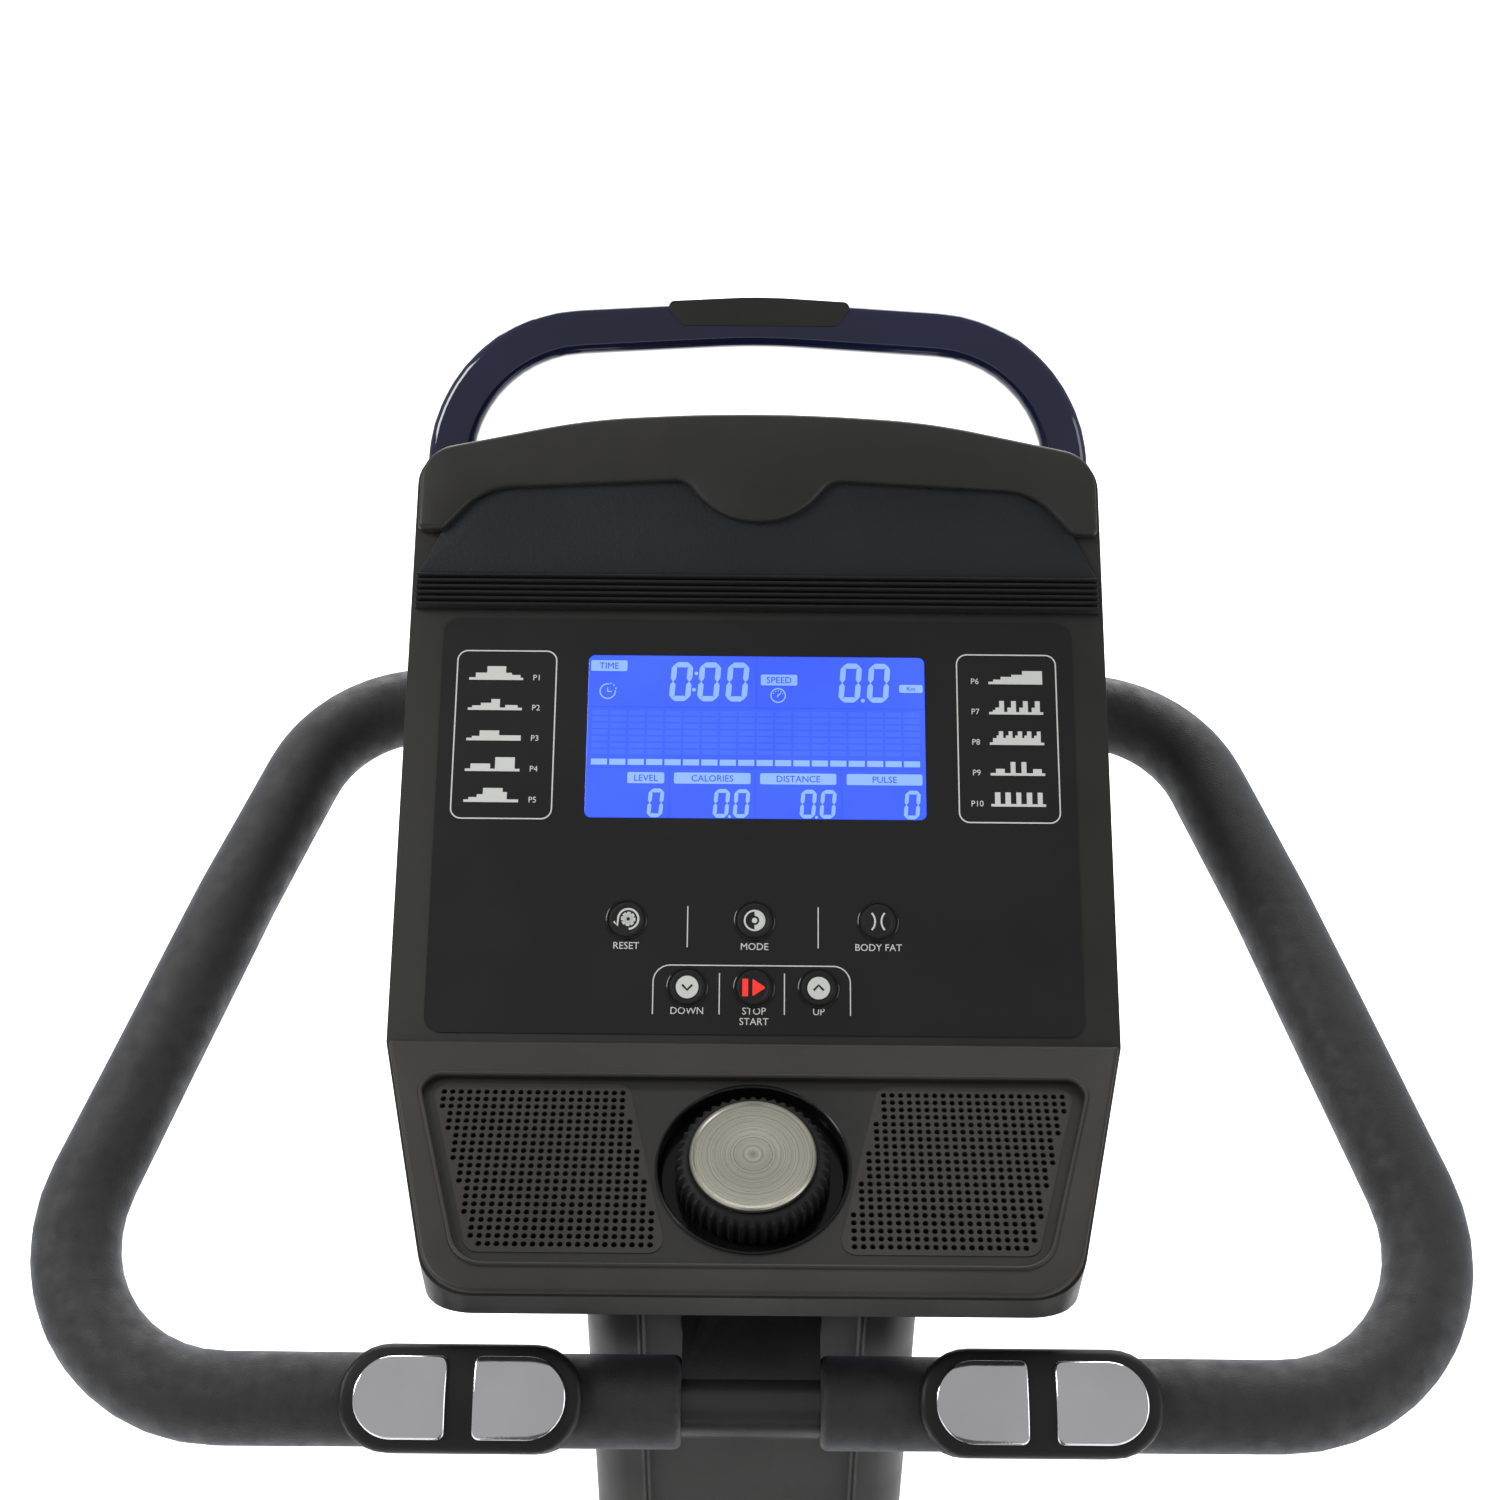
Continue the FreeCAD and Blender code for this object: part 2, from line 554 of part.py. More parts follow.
seat_weld = joined("seat_weld", without("upright_trim", seat_tubes, floor_trim), pedestal)
bar_space = shaped("seat_bar_space", seat_bar_solid)
sub_part("seat_frame", without("seat_frame_cut", seat_weld, carriage_space, bar_space))

# ---------------------------------------------------------------- drive

axle_long = "2 * (dims.crank_side + dims.arm_thick)"
sub_part("crank_axle", rod("crank_axle_rod", "dims.crank_axle_d / 2", axle_long, crank, X_AXIS))
belt_mid = size("belt_x") + size("belt_width") / 2
hub = rod("pulley_hub", "dims.crank_axle_d / 2 + 8", "dims.belt_width + 8", crank + X_AXIS * belt_mid, X_AXIS)
disc = rod("pulley_disc", "dims.pulley_d / 2", 5, crank + X_AXIS * belt_mid, X_AXIS)
rim = sleeve("pulley_rim", "dims.pulley_d / 2", "dims.pulley_d / 2 - 8", "dims.belt_width + 2",
             crank + X_AXIS * belt_mid, X_AXIS)
axle_seat = rod("axle_seat", "dims.crank_axle_d / 2", 300, crank, X_AXIS)
windows = []
for number in range(5):
    turn = math.radians(72 * number)
    reach = size("pulley_d") * 0.3
    windows.append(rod(f"pulley_window_{number}", 20, 30, crank + Vector(belt_mid, reach * math.cos(turn),
                                                                      reach * math.sin(turn)), X_AXIS))
sub_part("drive_pulley", without("pulley_cut", joined("pulley_weld", hub, disc, rim), axle_seat, *windows))

arm_mid = size("crank_side") + size("arm_thick") / 2
pin_radius = 7


def crank_arm(name, side):
    """A flat arm from the axle to the pedal's pin. The right arm points forward, the left one back."""
    end = crank + Vector(side * arm_mid, side * size("crank_arm"), 0)
    bar_part = block(name + "_bar", "dims.arm_thick", "dims.crank_arm", 26,
                     (end + crank + X_AXIS * side * arm_mid) / 2)
    eyes = [rod(name + "_axle_eye", 20, "dims.arm_thick", crank + X_AXIS * side * arm_mid, X_AXIS),
            rod(name + "_pedal_eye", 15, "dims.arm_thick", end, X_AXIS)]
    pin_long = size("pedal_width") + 14
    pin = rod(name + "_pin", pin_radius, pin_long,
              end + X_AXIS * side * ((size("arm_thick") + pin_long) / 2 - 2), X_AXIS)
    return without(name, joined(name + "_weld", bar_part, *eyes, pin), axle_seat)


def pedal(name, side):
    """A wide platform pedal with a bore for the arm's pin, open windows and a closed outer end."""
    start = size("crank_side") + size("arm_thick") + 1.5
    spot = crank + Vector(side * (start + size("pedal_width") / 2), side * size("crank_arm"), 0)
    body = block(name + "_body", "dims.pedal_width", "dims.pedal_long", "dims.pedal_thick", spot)
    bore = rod(name + "_bore", f"{pin_radius} + dims.run_fit", "dims.pedal_width + 4", spot, X_AXIS)
    holes = [block(f"{name}_window_{way + 1}", "dims.pedal_width - 24", 24, 60, spot + Y_AXIS * (way * 27))
             for way in (-1, 1)]
    return without(name, body, bore, *holes)


for word, side in (("left", -1), ("right", 1)):
    sub_part("crank_arm_" + word, crank_arm("arm_" + word, side))
    sub_part("pedal_" + word, pedal("pedal_solid_" + word, side))

# the flywheel turns on a fixed axle, with the small pulley as part of it
disc_mid = size("flywheel_x") + size("flywheel_thick") / 2
small_hub = "dims.flywheel_axle_d / 2 + 8"
hub_start = size("flywheel_x") + size("flywheel_thick") - 2
hub_end = size("belt_x") + size("belt_width") + 2
flywheel_weld = joined(
    "flywheel_weld",
    rod("flywheel_disc", "dims.flywheel_d / 2", "dims.flywheel_thick", flywheel_spot + X_AXIS * disc_mid,
        X_AXIS),
    rod("flywheel_hub", small_hub, hub_end - hub_start,
        flywheel_spot + X_AXIS * ((hub_start + hub_end) / 2), X_AXIS),
    rod("small_pulley", "dims.small_pulley_d / 2", "dims.belt_width + 4",
        flywheel_spot + X_AXIS * belt_mid, X_AXIS))
flywheel_bore = rod("flywheel_bore", "dims.flywheel_axle_d / 2 + dims.run_fit", 200, flywheel_spot, X_AXIS)
sub_part("flywheel", without("flywheel_cut", flywheel_weld, flywheel_bore))
flywheel_axle = rod("flywheel_axle", "dims.flywheel_axle_d / 2", 124, flywheel_spot + X_AXIS, X_AXIS)


def belt_loop(grow):
    """The flat outline round both pulleys, at a distance outside their rims."""
    apart = (flywheel_spot - crank)
    big, small = size("pulley_d") / 2 + grow, size("small_pulley_d") / 2 + grow
    heading = math.atan2(apart.z, apart.y)
    spread = math.acos((big - small) / apart.Length)

    def on_circle(middle, radius, angle):
        return Vector(0, middle.y + radius * math.cos(angle), middle.z + radius * math.sin(angle))

    points = [on_circle(crank, big, heading + spread), on_circle(crank, big, heading + math.pi),
              on_circle(crank, big, heading - spread), on_circle(flywheel_spot, small, heading - spread),
              on_circle(flywheel_spot, small, heading), on_circle(flywheel_spot, small, heading + spread)]
    edges = [Part.Arc(points[0], points[1], points[2]).toShape(),
             Part.LineSegment(points[2], points[3]).toShape(),
             Part.Arc(points[3], points[4], points[5]).toShape(),
             Part.LineSegment(points[5], points[0]).toShape()]
    return Part.Face(Part.Wire(edges)).extrude(X_AXIS * size("belt_width"))


belt = belt_loop(size("belt_thick") + gap).cut(belt_loop(gap))
sub_part("drive_belt", shaped("belt_band", belt, Placement(X_AXIS * size("belt_x"), Rotation())))

# the magnet bracket swings on a pin held by a small stand, and holds its magnets close to the rim
magnet_pin = flywheel_spot + Vector(disc_mid, -size("flywheel_d") / 2 - 6, -92)
pin_r = 5
rim_reach = size("flywheel_d") / 2 + size("magnet_gap")
ring_wide = size("flywheel_thick") - 6
shoe_ring = sleeve("shoe_ring", rim_reach + 12, rim_reach, ring_wide, flywheel_spot + X_AXIS * disc_mid,
                   X_AXIS)
shoe_part = doc.addObject("Part::Common", "shoe_part")
shoe_part.Base = shoe_ring
shoe_part.Tool = block("shoe_reach", 60, 60, 110, flywheel_spot + Vector(disc_mid, -rim_reach + 4, -20))
bracket_arm = block("bracket_arm", ring_wide, 14, 52, magnet_pin + Vector(0, 3, 18))
bracket_eye = rod("bracket_eye", pin_r + 6, ring_wide, magnet_pin, X_AXIS)
eye_bore = rod("eye_bore", f"{pin_r} + dims.run_fit", 80, magnet_pin, X_AXIS)
rim_space = rod("rim_space", rim_reach, 60, flywheel_spot + X_AXIS * disc_mid, X_AXIS)
sub_part("magnet_bracket", without("bracket_cut", joined("bracket_weld", shoe_part, bracket_arm, bracket_eye),
                                   eye_bore, rim_space))
stand_tall = magnet_pin.z - beam_top + 8
ear_x = ring_wide / 2 + 1 + 2
ears = [block(f"stand_ear_{side + 1}", 4, 18, stand_tall,
              Vector(disc_mid + side * ear_x, magnet_pin.y, beam_top + stand_tall / 2)) for side in (-1, 1)]
stand = joined("stand_weld", rod("stand_pin", pin_r, ring_wide + 14, magnet_pin, X_AXIS), *ears,
               block("stand_foot", 2 * ear_x + 4, 18, 3, Vector(disc_mid, magnet_pin.y, beam_top + 1.5)))
sub_part("resistance_motor", block("motor_case", 44, 34, 36, (0, crank.y + 52, beam_top + 18)))

# the drive covers: two hollow halves that meet on the middle plane
cover_outline = [(296, beam_top, 20), (crank.y + 320, beam_top, 40), (crank.y + 342, 258, 60),
                 (crank.y + 300, 376, 60), (crank.y + 60, 462, 80), (crank.y - 110, 500, 50),
                 (crank.y - 150, 420, 60)]


def cover_half(name):
    """The right half of the drive cover: rounded outer edge, open on the middle plane, holes for what
    leaves it."""
    face = Part.Face(rounded_outline(cover_outline))
    outer = face.extrude(Z_AXIS * size("cover_half"))
    far = [edge for edge in outer.Edges if edge.BoundBox.ZMin > size("cover_half") - 0.01]
    outer = outer.makeFillet(16, far)
    inner = Part.Face(Part.Wire(face.OuterWire.makeOffset2D(-skin).Edges)).extrude(
        Z_AXIS * (size("cover_half") - skin))
    near = [edge for edge in inner.Edges if edge.BoundBox.ZMin > size("cover_half") - skin - 0.01]
    shell = outer.cut(inner.makeFillet(16 - skin, near))
    shell.transformShape(Placement(Vector(0, 0, 0), Rotation(Y_AXIS, Z_AXIS, X_AXIS, "XYZ")).toMatrix())
    shell = shaped(name + "_shell", shell)
    axle_hole = rod(name + "_axle_hole", "dims.crank_axle_d / 2 + 4", 300, crank, X_AXIS)
    mast_hole = rod(name + "_mast_hole", "dims.mast_d / 2 + 1", mast_long, (mast_end + mast_foot) / 2,
                    mast_way)
    under = block(name + "_under", 2 * size("cover_half") - 14, 400, 40, (0, crank.y + 76, beam_top))
    return without(name, shell, axle_hole, mast_hole, under)


cover_right = cover_half("cover_right")
sub_part("drive_cover_right", cover_right)
sub_part("drive_cover_left", mirrored("cover_left", cover_right))

# ---------------------------------------------------------------- mast and handlebar

mast_mid = (mast_end + mast_foot) / 2
sub_part("mast_tube", sleeve("mast", "dims.mast_d / 2", "dims.mast_d / 2 - dims.tube_wall", mast_long,
                             mast_mid, mast_way))
mast_turn = Rotation(X_AXIS, size("mast_lean"))
cover_from, cover_to = 232, mast_long + size("mast_cover_over")
half_wide, half_deep = size("mast_cover_width") / 2, size("mast_cover_deep") / 2
channel_half = size("channel_width") / 2


def mast_profile(inset):
    """The cover's section, drawn in by a distance: a shallow channel runs up its rider's side."""
    wide, deep = half_wide - inset, half_deep - inset
    groove, floor = channel_half + inset, half_deep - size("channel_deep") - inset
    return [(-wide, -deep, 16 - inset), (-groove, -deep, 2), (-groove, -floor, 2), (groove, -floor, 2),
            (groove, -deep, 2), (wide, -deep, 16 - inset), (wide, deep, 26 - inset),
            (-wide, deep, 26 - inset)]


def mast_shell(name, side):
    """The rear or the front half of the mast's cover, open at both ends."""
    outer = slab(mast_profile(0), cover_from, cover_to)
    inner = slab(mast_profile(skin), cover_from - 5, cover_to + 5)
    keep = Part.makeBox(400, 200, 2 * mast_long, Vector(-200, 0 if side > 0 else -200, 0))
    shell = shaped(name, outer.cut(inner).common(keep), Placement(mast_foot, mast_turn))
    room = block(name + "_post_room", "dims.post_width + 2 * dims.gap", post_long,
                 "dims.post_deep + 2 * dims.gap", post_mid, bar_turn)
    return without(name + "_cut", shell, room)


bar_turn = Rotation(X_AXIS, size("bar_pitch"))
bar_place = Placement(bar, bar_turn)
bar_along = bar_turn.multVec(Y_AXIS)
bar_normal = bar_turn.multVec(Z_AXIS)
half, top_half, rise = size("bar_half"), size("bar_top_half"), size("bar_rise")
post_long = rise
post_mid = bar + bar_along * (post_long / 2)
sub_part("mast_cover_rear", mast_shell("mast_rear_shell", -1))
sub_part("mast_cover_front", mast_shell("mast_front_shell", 1))

leg_bend = Vector(250, 239, 0)


def loop_half(start_x, end_x):
    """The right half of the handlebar's middle line, from the low bar round to the high bar."""
    return rounded_path([Vector(start_x, 0, 0), Vector(half, 0, 0), leg_bend, Vector(top_half, rise, 0),
                         Vector(end_x, rise, 0)], [size("bar_bend"), 400, size("bar_top_bend")])


def both_sides(solid):
    """A solid and its mirror image, as one shape."""
    return solid.fuse(solid.mirror(Vector(0, 0, 0), X_AXIS)).removeSplitter()


bar_solid = both_sides(swept(loop_half(0, 0), size("bar_d") / 2))
bar_hollow = both_sides(swept(loop_half(0, 0), size("bar_d") / 2 - size("tube_wall")))
sub_part("handlebar_tube", shaped("bar_tube", bar_solid.cut(bar_hollow), bar_place))
foam_end = size("hoop_half") + size("hoop_band") / 2 + 1
foam = swept(loop_half(size("foam_start"), foam_end), size("foam_d") / 2).cut(bar_solid)
sub_part("foam_grips", shaped("foam_pair", Part.makeCompound([foam, foam.mirror(Vector(0, 0, 0), X_AXIS)]),
                              bar_place))

post = hollow_box("post", "dims.post_width", post_long, "dims.post_deep", post_mid, "Y", bar_turn)
collar = rod("collar", "dims.mast_d / 2 + dims.socket_wall", 74, mast_end - mast_way * 20, mast_way)
bar_room = shaped("bar_room", bar_solid, bar_place)
mast_room = rod("mast_room", "dims.mast_d / 2", mast_long, mast_mid, mast_way)
post_block = block("post_block", "dims.post_width", post_long, "dims.post_deep", post_mid, bar_turn)
collar_low = without("collar_low", collar, post_block)
sub_part("handlebar_bracket", without("bracket_post", joined("post_weld", post, collar_low), bar_room,
                                      mast_room))

sensor_turn = Rotation(X_AXIS, 56)
sensor_out = size("sensor_out")
plate_thick = 1.5


def sensor_arch(high):
    """The gently curved front that every sensor piece lies under, crowned at a height off the bar."""
    middle = Vector(-300, 0, sensor_out - size("sensor_arch"))
    return Part.makeCylinder(size("sensor_arch") + high - sensor_out, 600, middle, X_AXIS)


sensor_half, sensor_up = size("sensor_length") / 2, size("sensor_tall") / 2
plate_up = size("plate_tall") / 2
foam_core = Part.makeCylinder(size("foam_d") / 2, 600, Vector(-300, 0, 0), X_AXIS)
housings, plates = [], []
for side in (-1, 1):
    middle = side * size("sensor_x")
    capsule = slab(oblong(sensor_half, sensor_up, sensor_up - 1, middle), -4, 60)
    housings.append(capsule.common(sensor_arch(sensor_out)).cut(foam_core))
    for end in (-1, 1):
        near = middle + end * size("plate_gap") / 2
        far = near + end * size("plate_long")
        corners = [(near, -plate_up, 3), (far, -plate_up, plate_up - 0.5), (far, plate_up, plate_up - 0.5),
                   (near, plate_up, 3)]
        leaf = slab(corners, 5, 60)
        plates.append(leaf.common(sensor_arch(sensor_out + plate_thick)).cut(sensor_arch(sensor_out)))
sensor_place = Placement(bar, sensor_turn)
sub_part("sensor_housings", shaped("housing_pair", Part.makeCompound(housings), sensor_place))
sub_part("sensor_plates", shaped("plate_set", Part.makeCompound(plates), sensor_place))

# ---------------------------------------------------------------- console

face_middle = bar + Vector(0, size("face_ahead_of_bar"), size("face_up_from_bar"))
face_turn = Rotation(X_AXIS, size("face_pitch"))
face_place = Placement(face_middle, face_turn)
kink = face_place.multVec(Vector(0, -size("face_kink"), 0))
panel_turn = Rotation(X_AXIS, size("panel_pitch"))
panel_place = Placement(kink, panel_turn)
face_up, face_out = face_turn.multVec(Y_AXIS), face_turn.multVec(Z_AXIS)
panel_up, panel_out = panel_turn.multVec(Y_AXIS), panel_turn.multVec(Z_AXIS)
mitre = (face_out + panel_out) * (1 / (1 + face_out.dot(panel_out)))


def face_outline(inset):
    """The main face's edge: straight sides and a gently arched top with rounded shoulders."""
    wide, top = size("console_half") - inset, size("face_top") - inset
    shoulder = size("face_shoulder") - inset
    return [(-wide, -size("face_kink") - 60, 0), (wide, -size("face_kink") - 60, 0), (wide, shoulder, 18),
            (wide * 0.5, top - 5, 300), (0, top, 800), (-wide * 0.5, top - 5, 300), (-wide, shoulder, 18)]


def panel_outline(inset):
    """The lower panel's edge: it narrows downward to large rounded corners."""
    wide, low_half = size("console_half") - inset, size("panel_low_half") - inset
    low = size("panel_long") - inset
    return [(-wide, 0, 0), (-low_half, -low, 24), (low_half, -low, 24), (wide, 0, 0), (wide, 60, 0),
            (-wide, 60, 0)]


def side_slice(first, second, third, fourth):
    """A slice across the whole width, from four points of its side view."""
    wide = size("console_half") + 10
    ring = Part.makePolygon([point - X_AXIS * wide for point in (first, second, third, fourth, first)])
    return Part.Face(ring).extrude(X_AXIS * (2 * wide))


def low_wedge(inset):
    """What is taken from the console's low end, so that its underside slants back to the rear."""
    first = panel_place.multVec(Vector(0, -size("panel_long"), -size("low_lip")))
    last = panel_place.multVec(Vector(0, -size("low_slant"), -size("console_deep")))
    slant = (last - first).normalize()
    inward = X_AXIS.cross(slant)
    near, far = first + inward * inset - slant * 40, last + inward * inset + slant * 40
    return side_slice(near, far, far - inward * 90, near - inward * 90)


def console_layer(front, back, inset=0):
    """The console's solid between two depths behind its folded face, drawn in from its outline."""
    top = face_place.multVec(Vector(0, size("face_top") + 10, 0))
    low = panel_place.multVec(Vector(0, -size("panel_long") - 10, 0))
    fold_front, fold_back = kink - mitre * front, kink - mitre * back
    upper = side_slice(top - face_out * front, fold_front, fold_back, top - face_out * back)
    lower = side_slice(low - panel_out * front, fold_front, fold_back, low - panel_out * back)
    upper_edge, lower_edge = slab(face_outline(inset), -300, 300), slab(panel_outline(inset), -300, 300)
    upper_edge.transformShape(face_place.toMatrix())
    lower_edge.transformShape(panel_place.toMatrix())
    whole = upper.common(upper_edge).fuse(lower.common(lower_edge)).removeSplitter()
    return whole.cut(low_wedge(inset))


def on_face(shape):
    """A shape drawn in the main face's own axes, taken to its place."""
    moved = shape.copy()
    moved.transformShape(face_place.toMatrix())
    return moved


def on_panel(shape):
    """A shape drawn in the lower panel's own axes, taken to its place."""
    moved = shape.copy()
    moved.transformShape(panel_place.toMatrix())
    return moved


BUTTONS = {"reset": (-57, -85.3), "mode": (0, -85.3), "body_fat": (55, -85.3),
           "down": (-29.5, -115.3), "start_stop": (0, -115.3), "up": (28.5, -115.3)}
button_hole = size("button_d") / 2 + gap
front_deep = size("front_deep")
overlay_mid = (size("overlay_top") - size("overlay_low")) / 2
overlay_outline = oblong(size("overlay_half"), (size("overlay_top") + size("overlay_low")) / 2, 7, 0,
                         overlay_mid)
holes = [Part.makeCylinder(button_hole, 40, Vector(spot[0], spot[1], -20)) for spot in BUTTONS.values()]
window = slab(oblong(size("lcd_width") / 2, size("lcd_tall") / 2, 3), -20, 20)
grille_outline = [(35, -102, 6), (115, -102, 6), (138, -22, 6), (54, -22, 6)]
knob_bore = Part.makeCylinder(8, 40, Vector(0, -size("knob_down"), -20))
well_radius, well_deep = size("well_d") / 2, size("well_deep")
well_cup = Part.makeCylinder(well_radius + skin, well_deep + skin - 1, Vector(0, -size("knob_down"),
                                                                            -well_deep - skin))
well_room = Part.makeCylinder(well_radius, well_deep + 20, Vector(0, -size("knob_down"), -well_deep))

front_void = console_layer(skin, front_deep + 1, skin).cut(on_panel(well_cup))
front_shell = console_layer(0, front_deep).cut(front_void).cut(on_panel(well_room))
for tool in [on_face(hole) for hole in holes] + [on_face(window), on_panel(knob_bore)]:
    front_shell = front_shell.cut(tool)
for side in (1, -1):
    seat = slab(grille_outline, -20, 20)
    seat = seat if side > 0 else seat.mirror(Vector(0, 0, 0), X_AXIS)
    front_shell = front_shell.cut(on_panel(seat))
sub_part("console_front_shell", shaped("front_tray", front_shell))
rear_tray = shaped("rear_tray", console_layer(front_deep, size("console_deep")).cut(
    console_layer(front_deep - 1, size("console_deep") - skin, skin)))
sub_part("console_rear_shell", without("rear_tray_cut", rear_tray, block(
    "post_notch", "dims.post_width + 2 * dims.gap", post_long, "dims.post_deep + 2 * dims.gap", post_mid,
    bar_turn)))

overlay = slab(overlay_outline, 0, size("overlay_thick"))
for tool in holes + [window]:
    overlay = overlay.cut(tool)
sub_part("keypad_overlay", shaped("overlay_sheet", overlay, face_place))
sub_part("lcd_panel", shaped("lcd_plate", slab(oblong(size("lcd_width") / 2, size("lcd_tall") / 2, 3), -6, 0),
                             face_place))
sub_part("circuit_board", shaped("board", slab(oblong(130, 85, 4, 0, -35), -size("board_back"),
                                               -size("board_back") + 1.6), face_place))


def button_shape():
    """A short domed push button with a wider foot behind the face."""
    stem = Part.makeCylinder(size("button_d") / 2, 8.4, Vector(0, 0, -6.6))
    crown = [edge for edge in stem.Edges if edge.BoundBox.ZMin > 1.7]
    return stem.makeFillet(0.7, crown)


for word, (across, up) in BUTTONS.items():
    place = face_place * Placement(Vector(across, up, 0), Rotation())
    sub_part("button_" + word, shaped("button_solid_" + word, button_shape(), place))

grilles = []
for side in (1, -1):
    plate = slab(grille_outline, -size("grille_thick"), 0)
    plate = plate if side > 0 else plate.mirror(Vector(0, 0, 0), X_AXIS)
    grilles.append(on_panel(plate))
sub_part("speaker_grilles", shaped("grille_pair", Part.makeCompound(grilles)))
speaker_spots = [(-84, -60), (84, -60)]
speakers = [on_panel(Part.makeCylinder(24, 14, Vector(across, up, -17)).fuse(
    Part.makeCylinder(14, 10, Vector(across, up, -27)))) for across, up in speaker_spots]
sub_part("speakers", shaped("speaker_pair", Part.makeCompound(speakers)))

shaft_r = size("shaft_d") / 2
knob_place = panel_place * Placement(Vector(0, -size("knob_down"), 0), Rotation(X_AXIS, 90))
skirt_low = 1.5 - well_deep
skirt_high = skirt_low + size("knob_tall")
skirt = turned_body("knob_skirt_body", [
    ("dims.shaft_d / 2", skirt_low), ("dims.knob_d / 2", skirt_low), ("dims.knob_d / 2", skirt_low + 6),
    ("dims.knob_d / 2 - 4", skirt_high), ("dims.shaft_d / 2", skirt_high)])
skirt.Placement = knob_place
sub_part("knob_skirt", skirt)
cap = turned_body("knob_cap_body", [(0, skirt_high), ("dims.knob_cap_d / 2", skirt_high),
                                    ("dims.knob_cap_d / 2", skirt_high + 1.6),
                                    ("dims.knob_cap_d / 2 - 1.5", skirt_high + 2.6), (0, skirt_high + 3)])
cap.Placement = knob_place
sub_part("knob_cap", cap)
encoder_low = -well_deep - 17
shaft = Part.makeCylinder(shaft_r, skirt_high - encoder_low - 2, Vector(0, 0, encoder_low + 2))
housing = Part.makeCylinder(7.9, 17, Vector(0, 0, encoder_low)).cut(
    Part.makeCylinder(shaft_r + size("run_fit"), 40, Vector(0, 0, encoder_low + 2 - gap)))
knob_spot = panel_place * Placement(Vector(0, -size("knob_down"), 0), Rotation())
sub_part("knob_shaft", shaped("shaft_rod", shaft, knob_spot))
sub_part("encoder", shaped("encoder_case", housing, knob_spot))

rest_outline = [(-155, 78, 2), (155, 78, 2), (150, 112, 12), (70, 122, 200), (0, 124, 900), (-70, 122, 200),
                (-150, 112, 12)]
sub_part("tablet_rest", shaped("rest_plate", slab(rest_outline, 0, 2), face_place))
strip_outline = [(-156, 60, 2), (156, 60, 2), (155, 77.7, 2), (-155, 77.7, 2)]
sub_part("rubber_strip", shaped("strip", slab(strip_outline, 0, 5), face_place))

# ---------------------------------------------------------------- hoop

hoop_base = bar + bar_along * rise
hoop_turn = Rotation(X_AXIS, 90 - size("hoop_lean"))
hoop_half, hoop_rise = size("hoop_half"), size("hoop_rise")
hoop_path = rounded_path([Vector(-hoop_half, size("hoop_start"), 0), Vector(-hoop_half, hoop_rise, 0),
                          Vector(0, hoop_rise + size("hoop_arch"), 0), Vector(hoop_half, hoop_rise, 0),
                          Vector(hoop_half, size("hoop_start"), 0)],
                         [size("hoop_bend"), 400, size("hoop_bend")])


def hoop_section():
    """The band's rounded section, at the foot of the left leg."""
    flat = rounded_outline(oblong(size("hoop_band") / 2, size("hoop_thick") / 2, 5))
    flat.rotate(Vector(0, 0, 0), X_AXIS, 90)
    flat.translate(Vector(-hoop_half, size("hoop_start"), 0))
    return flat


hoop_solid = hoop_path.makePipeShell([hoop_section()], True, False)
hoop_place = Placement(hoop_base, hoop_turn)
clamps = [rod(f"hoop_clamp_{side + 1}", "dims.bar_d / 2 + 4", "dims.hoop_band",
              hoop_base + X_AXIS * side * hoop_half, X_AXIS) for side in (-1, 1)]
clamp_bore = rod("clamp_bore", "dims.bar_d / 2", 500, hoop_base, X_AXIS)
sub_part("hoop_handle", without("hoop_cut", joined("hoop_weld", shaped("hoop_band", hoop_solid, hoop_place),
                                                   *clamps), clamp_bore))
hoop_top = hoop_rise + size("hoop_arch")
grip_half, grip_foot, proud = size("grip_top") / 2, size("grip_low") / 2, size("grip_proud")
grip_high = hoop_top + size("hoop_band") / 2 + proud
grip_fall = grip_half * size("hoop_arch") / hoop_half
grip_end = grip_high - grip_fall - size("grip_tall")
grip_pad = slab([(-grip_foot, grip_end, 3), (grip_foot, grip_end, 3), (grip_half, grip_high - grip_fall, 3),
                 (0, grip_high, 300), (-grip_half, grip_high - grip_fall, 3)],
                -size("hoop_thick") / 2 - proud, size("hoop_thick") / 2 + proud).cut(hoop_solid)
sub_part("hoop_grip", shaped("hoop_grip_pad", grip_pad, hoop_place))

# ---------------------------------------------------------------- fixings, inlet

inlet = block("inlet_block", 30, 22, 24, (0, cover_outline[0][0] + 13, beam_top + 60))
sub_part("power_inlet", inlet)
fixings = bolts + [stand, flywheel_axle]
sub_part("fasteners", group("fastener_set", *fixings))

# ---------------------------------------------------------------- check and write

doc.recompute()
for item in doc.Objects:
    if "Invalid" in item.State or "Error" in item.State:
        raise RuntimeError(f"{item.Label} did not build: {item.State}")
for item in sub_parts:
    if item.Shape.isNull() or not item.Shape.isValid():
        raise RuntimeError(f"{item.Label} has no valid shape")
os.makedirs("parts", exist_ok=True)
for item in sub_parts:
    item.Shape.exportStep(f"parts/{item.Label}.step")
print(f"{len(sub_parts)} sub-parts written")
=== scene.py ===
# %% [markdown]
# # A recumbent exercise bike, dressed for its portrait
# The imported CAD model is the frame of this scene. It gives every part its place. This script gives
# the parts their looks: crisp moulded edges, a printed console with a lit display, foam grips,
# a glossy hoop, upholstered cushions, and materials with grain.

# %% Load the frame
import json
import math
import bpy
import bmesh
import numpy as np
from mathutils import Matrix, Vector
from mathutils.bvhtree import BVHTree
from mathutils.geometry import delaunay_2d_cdt


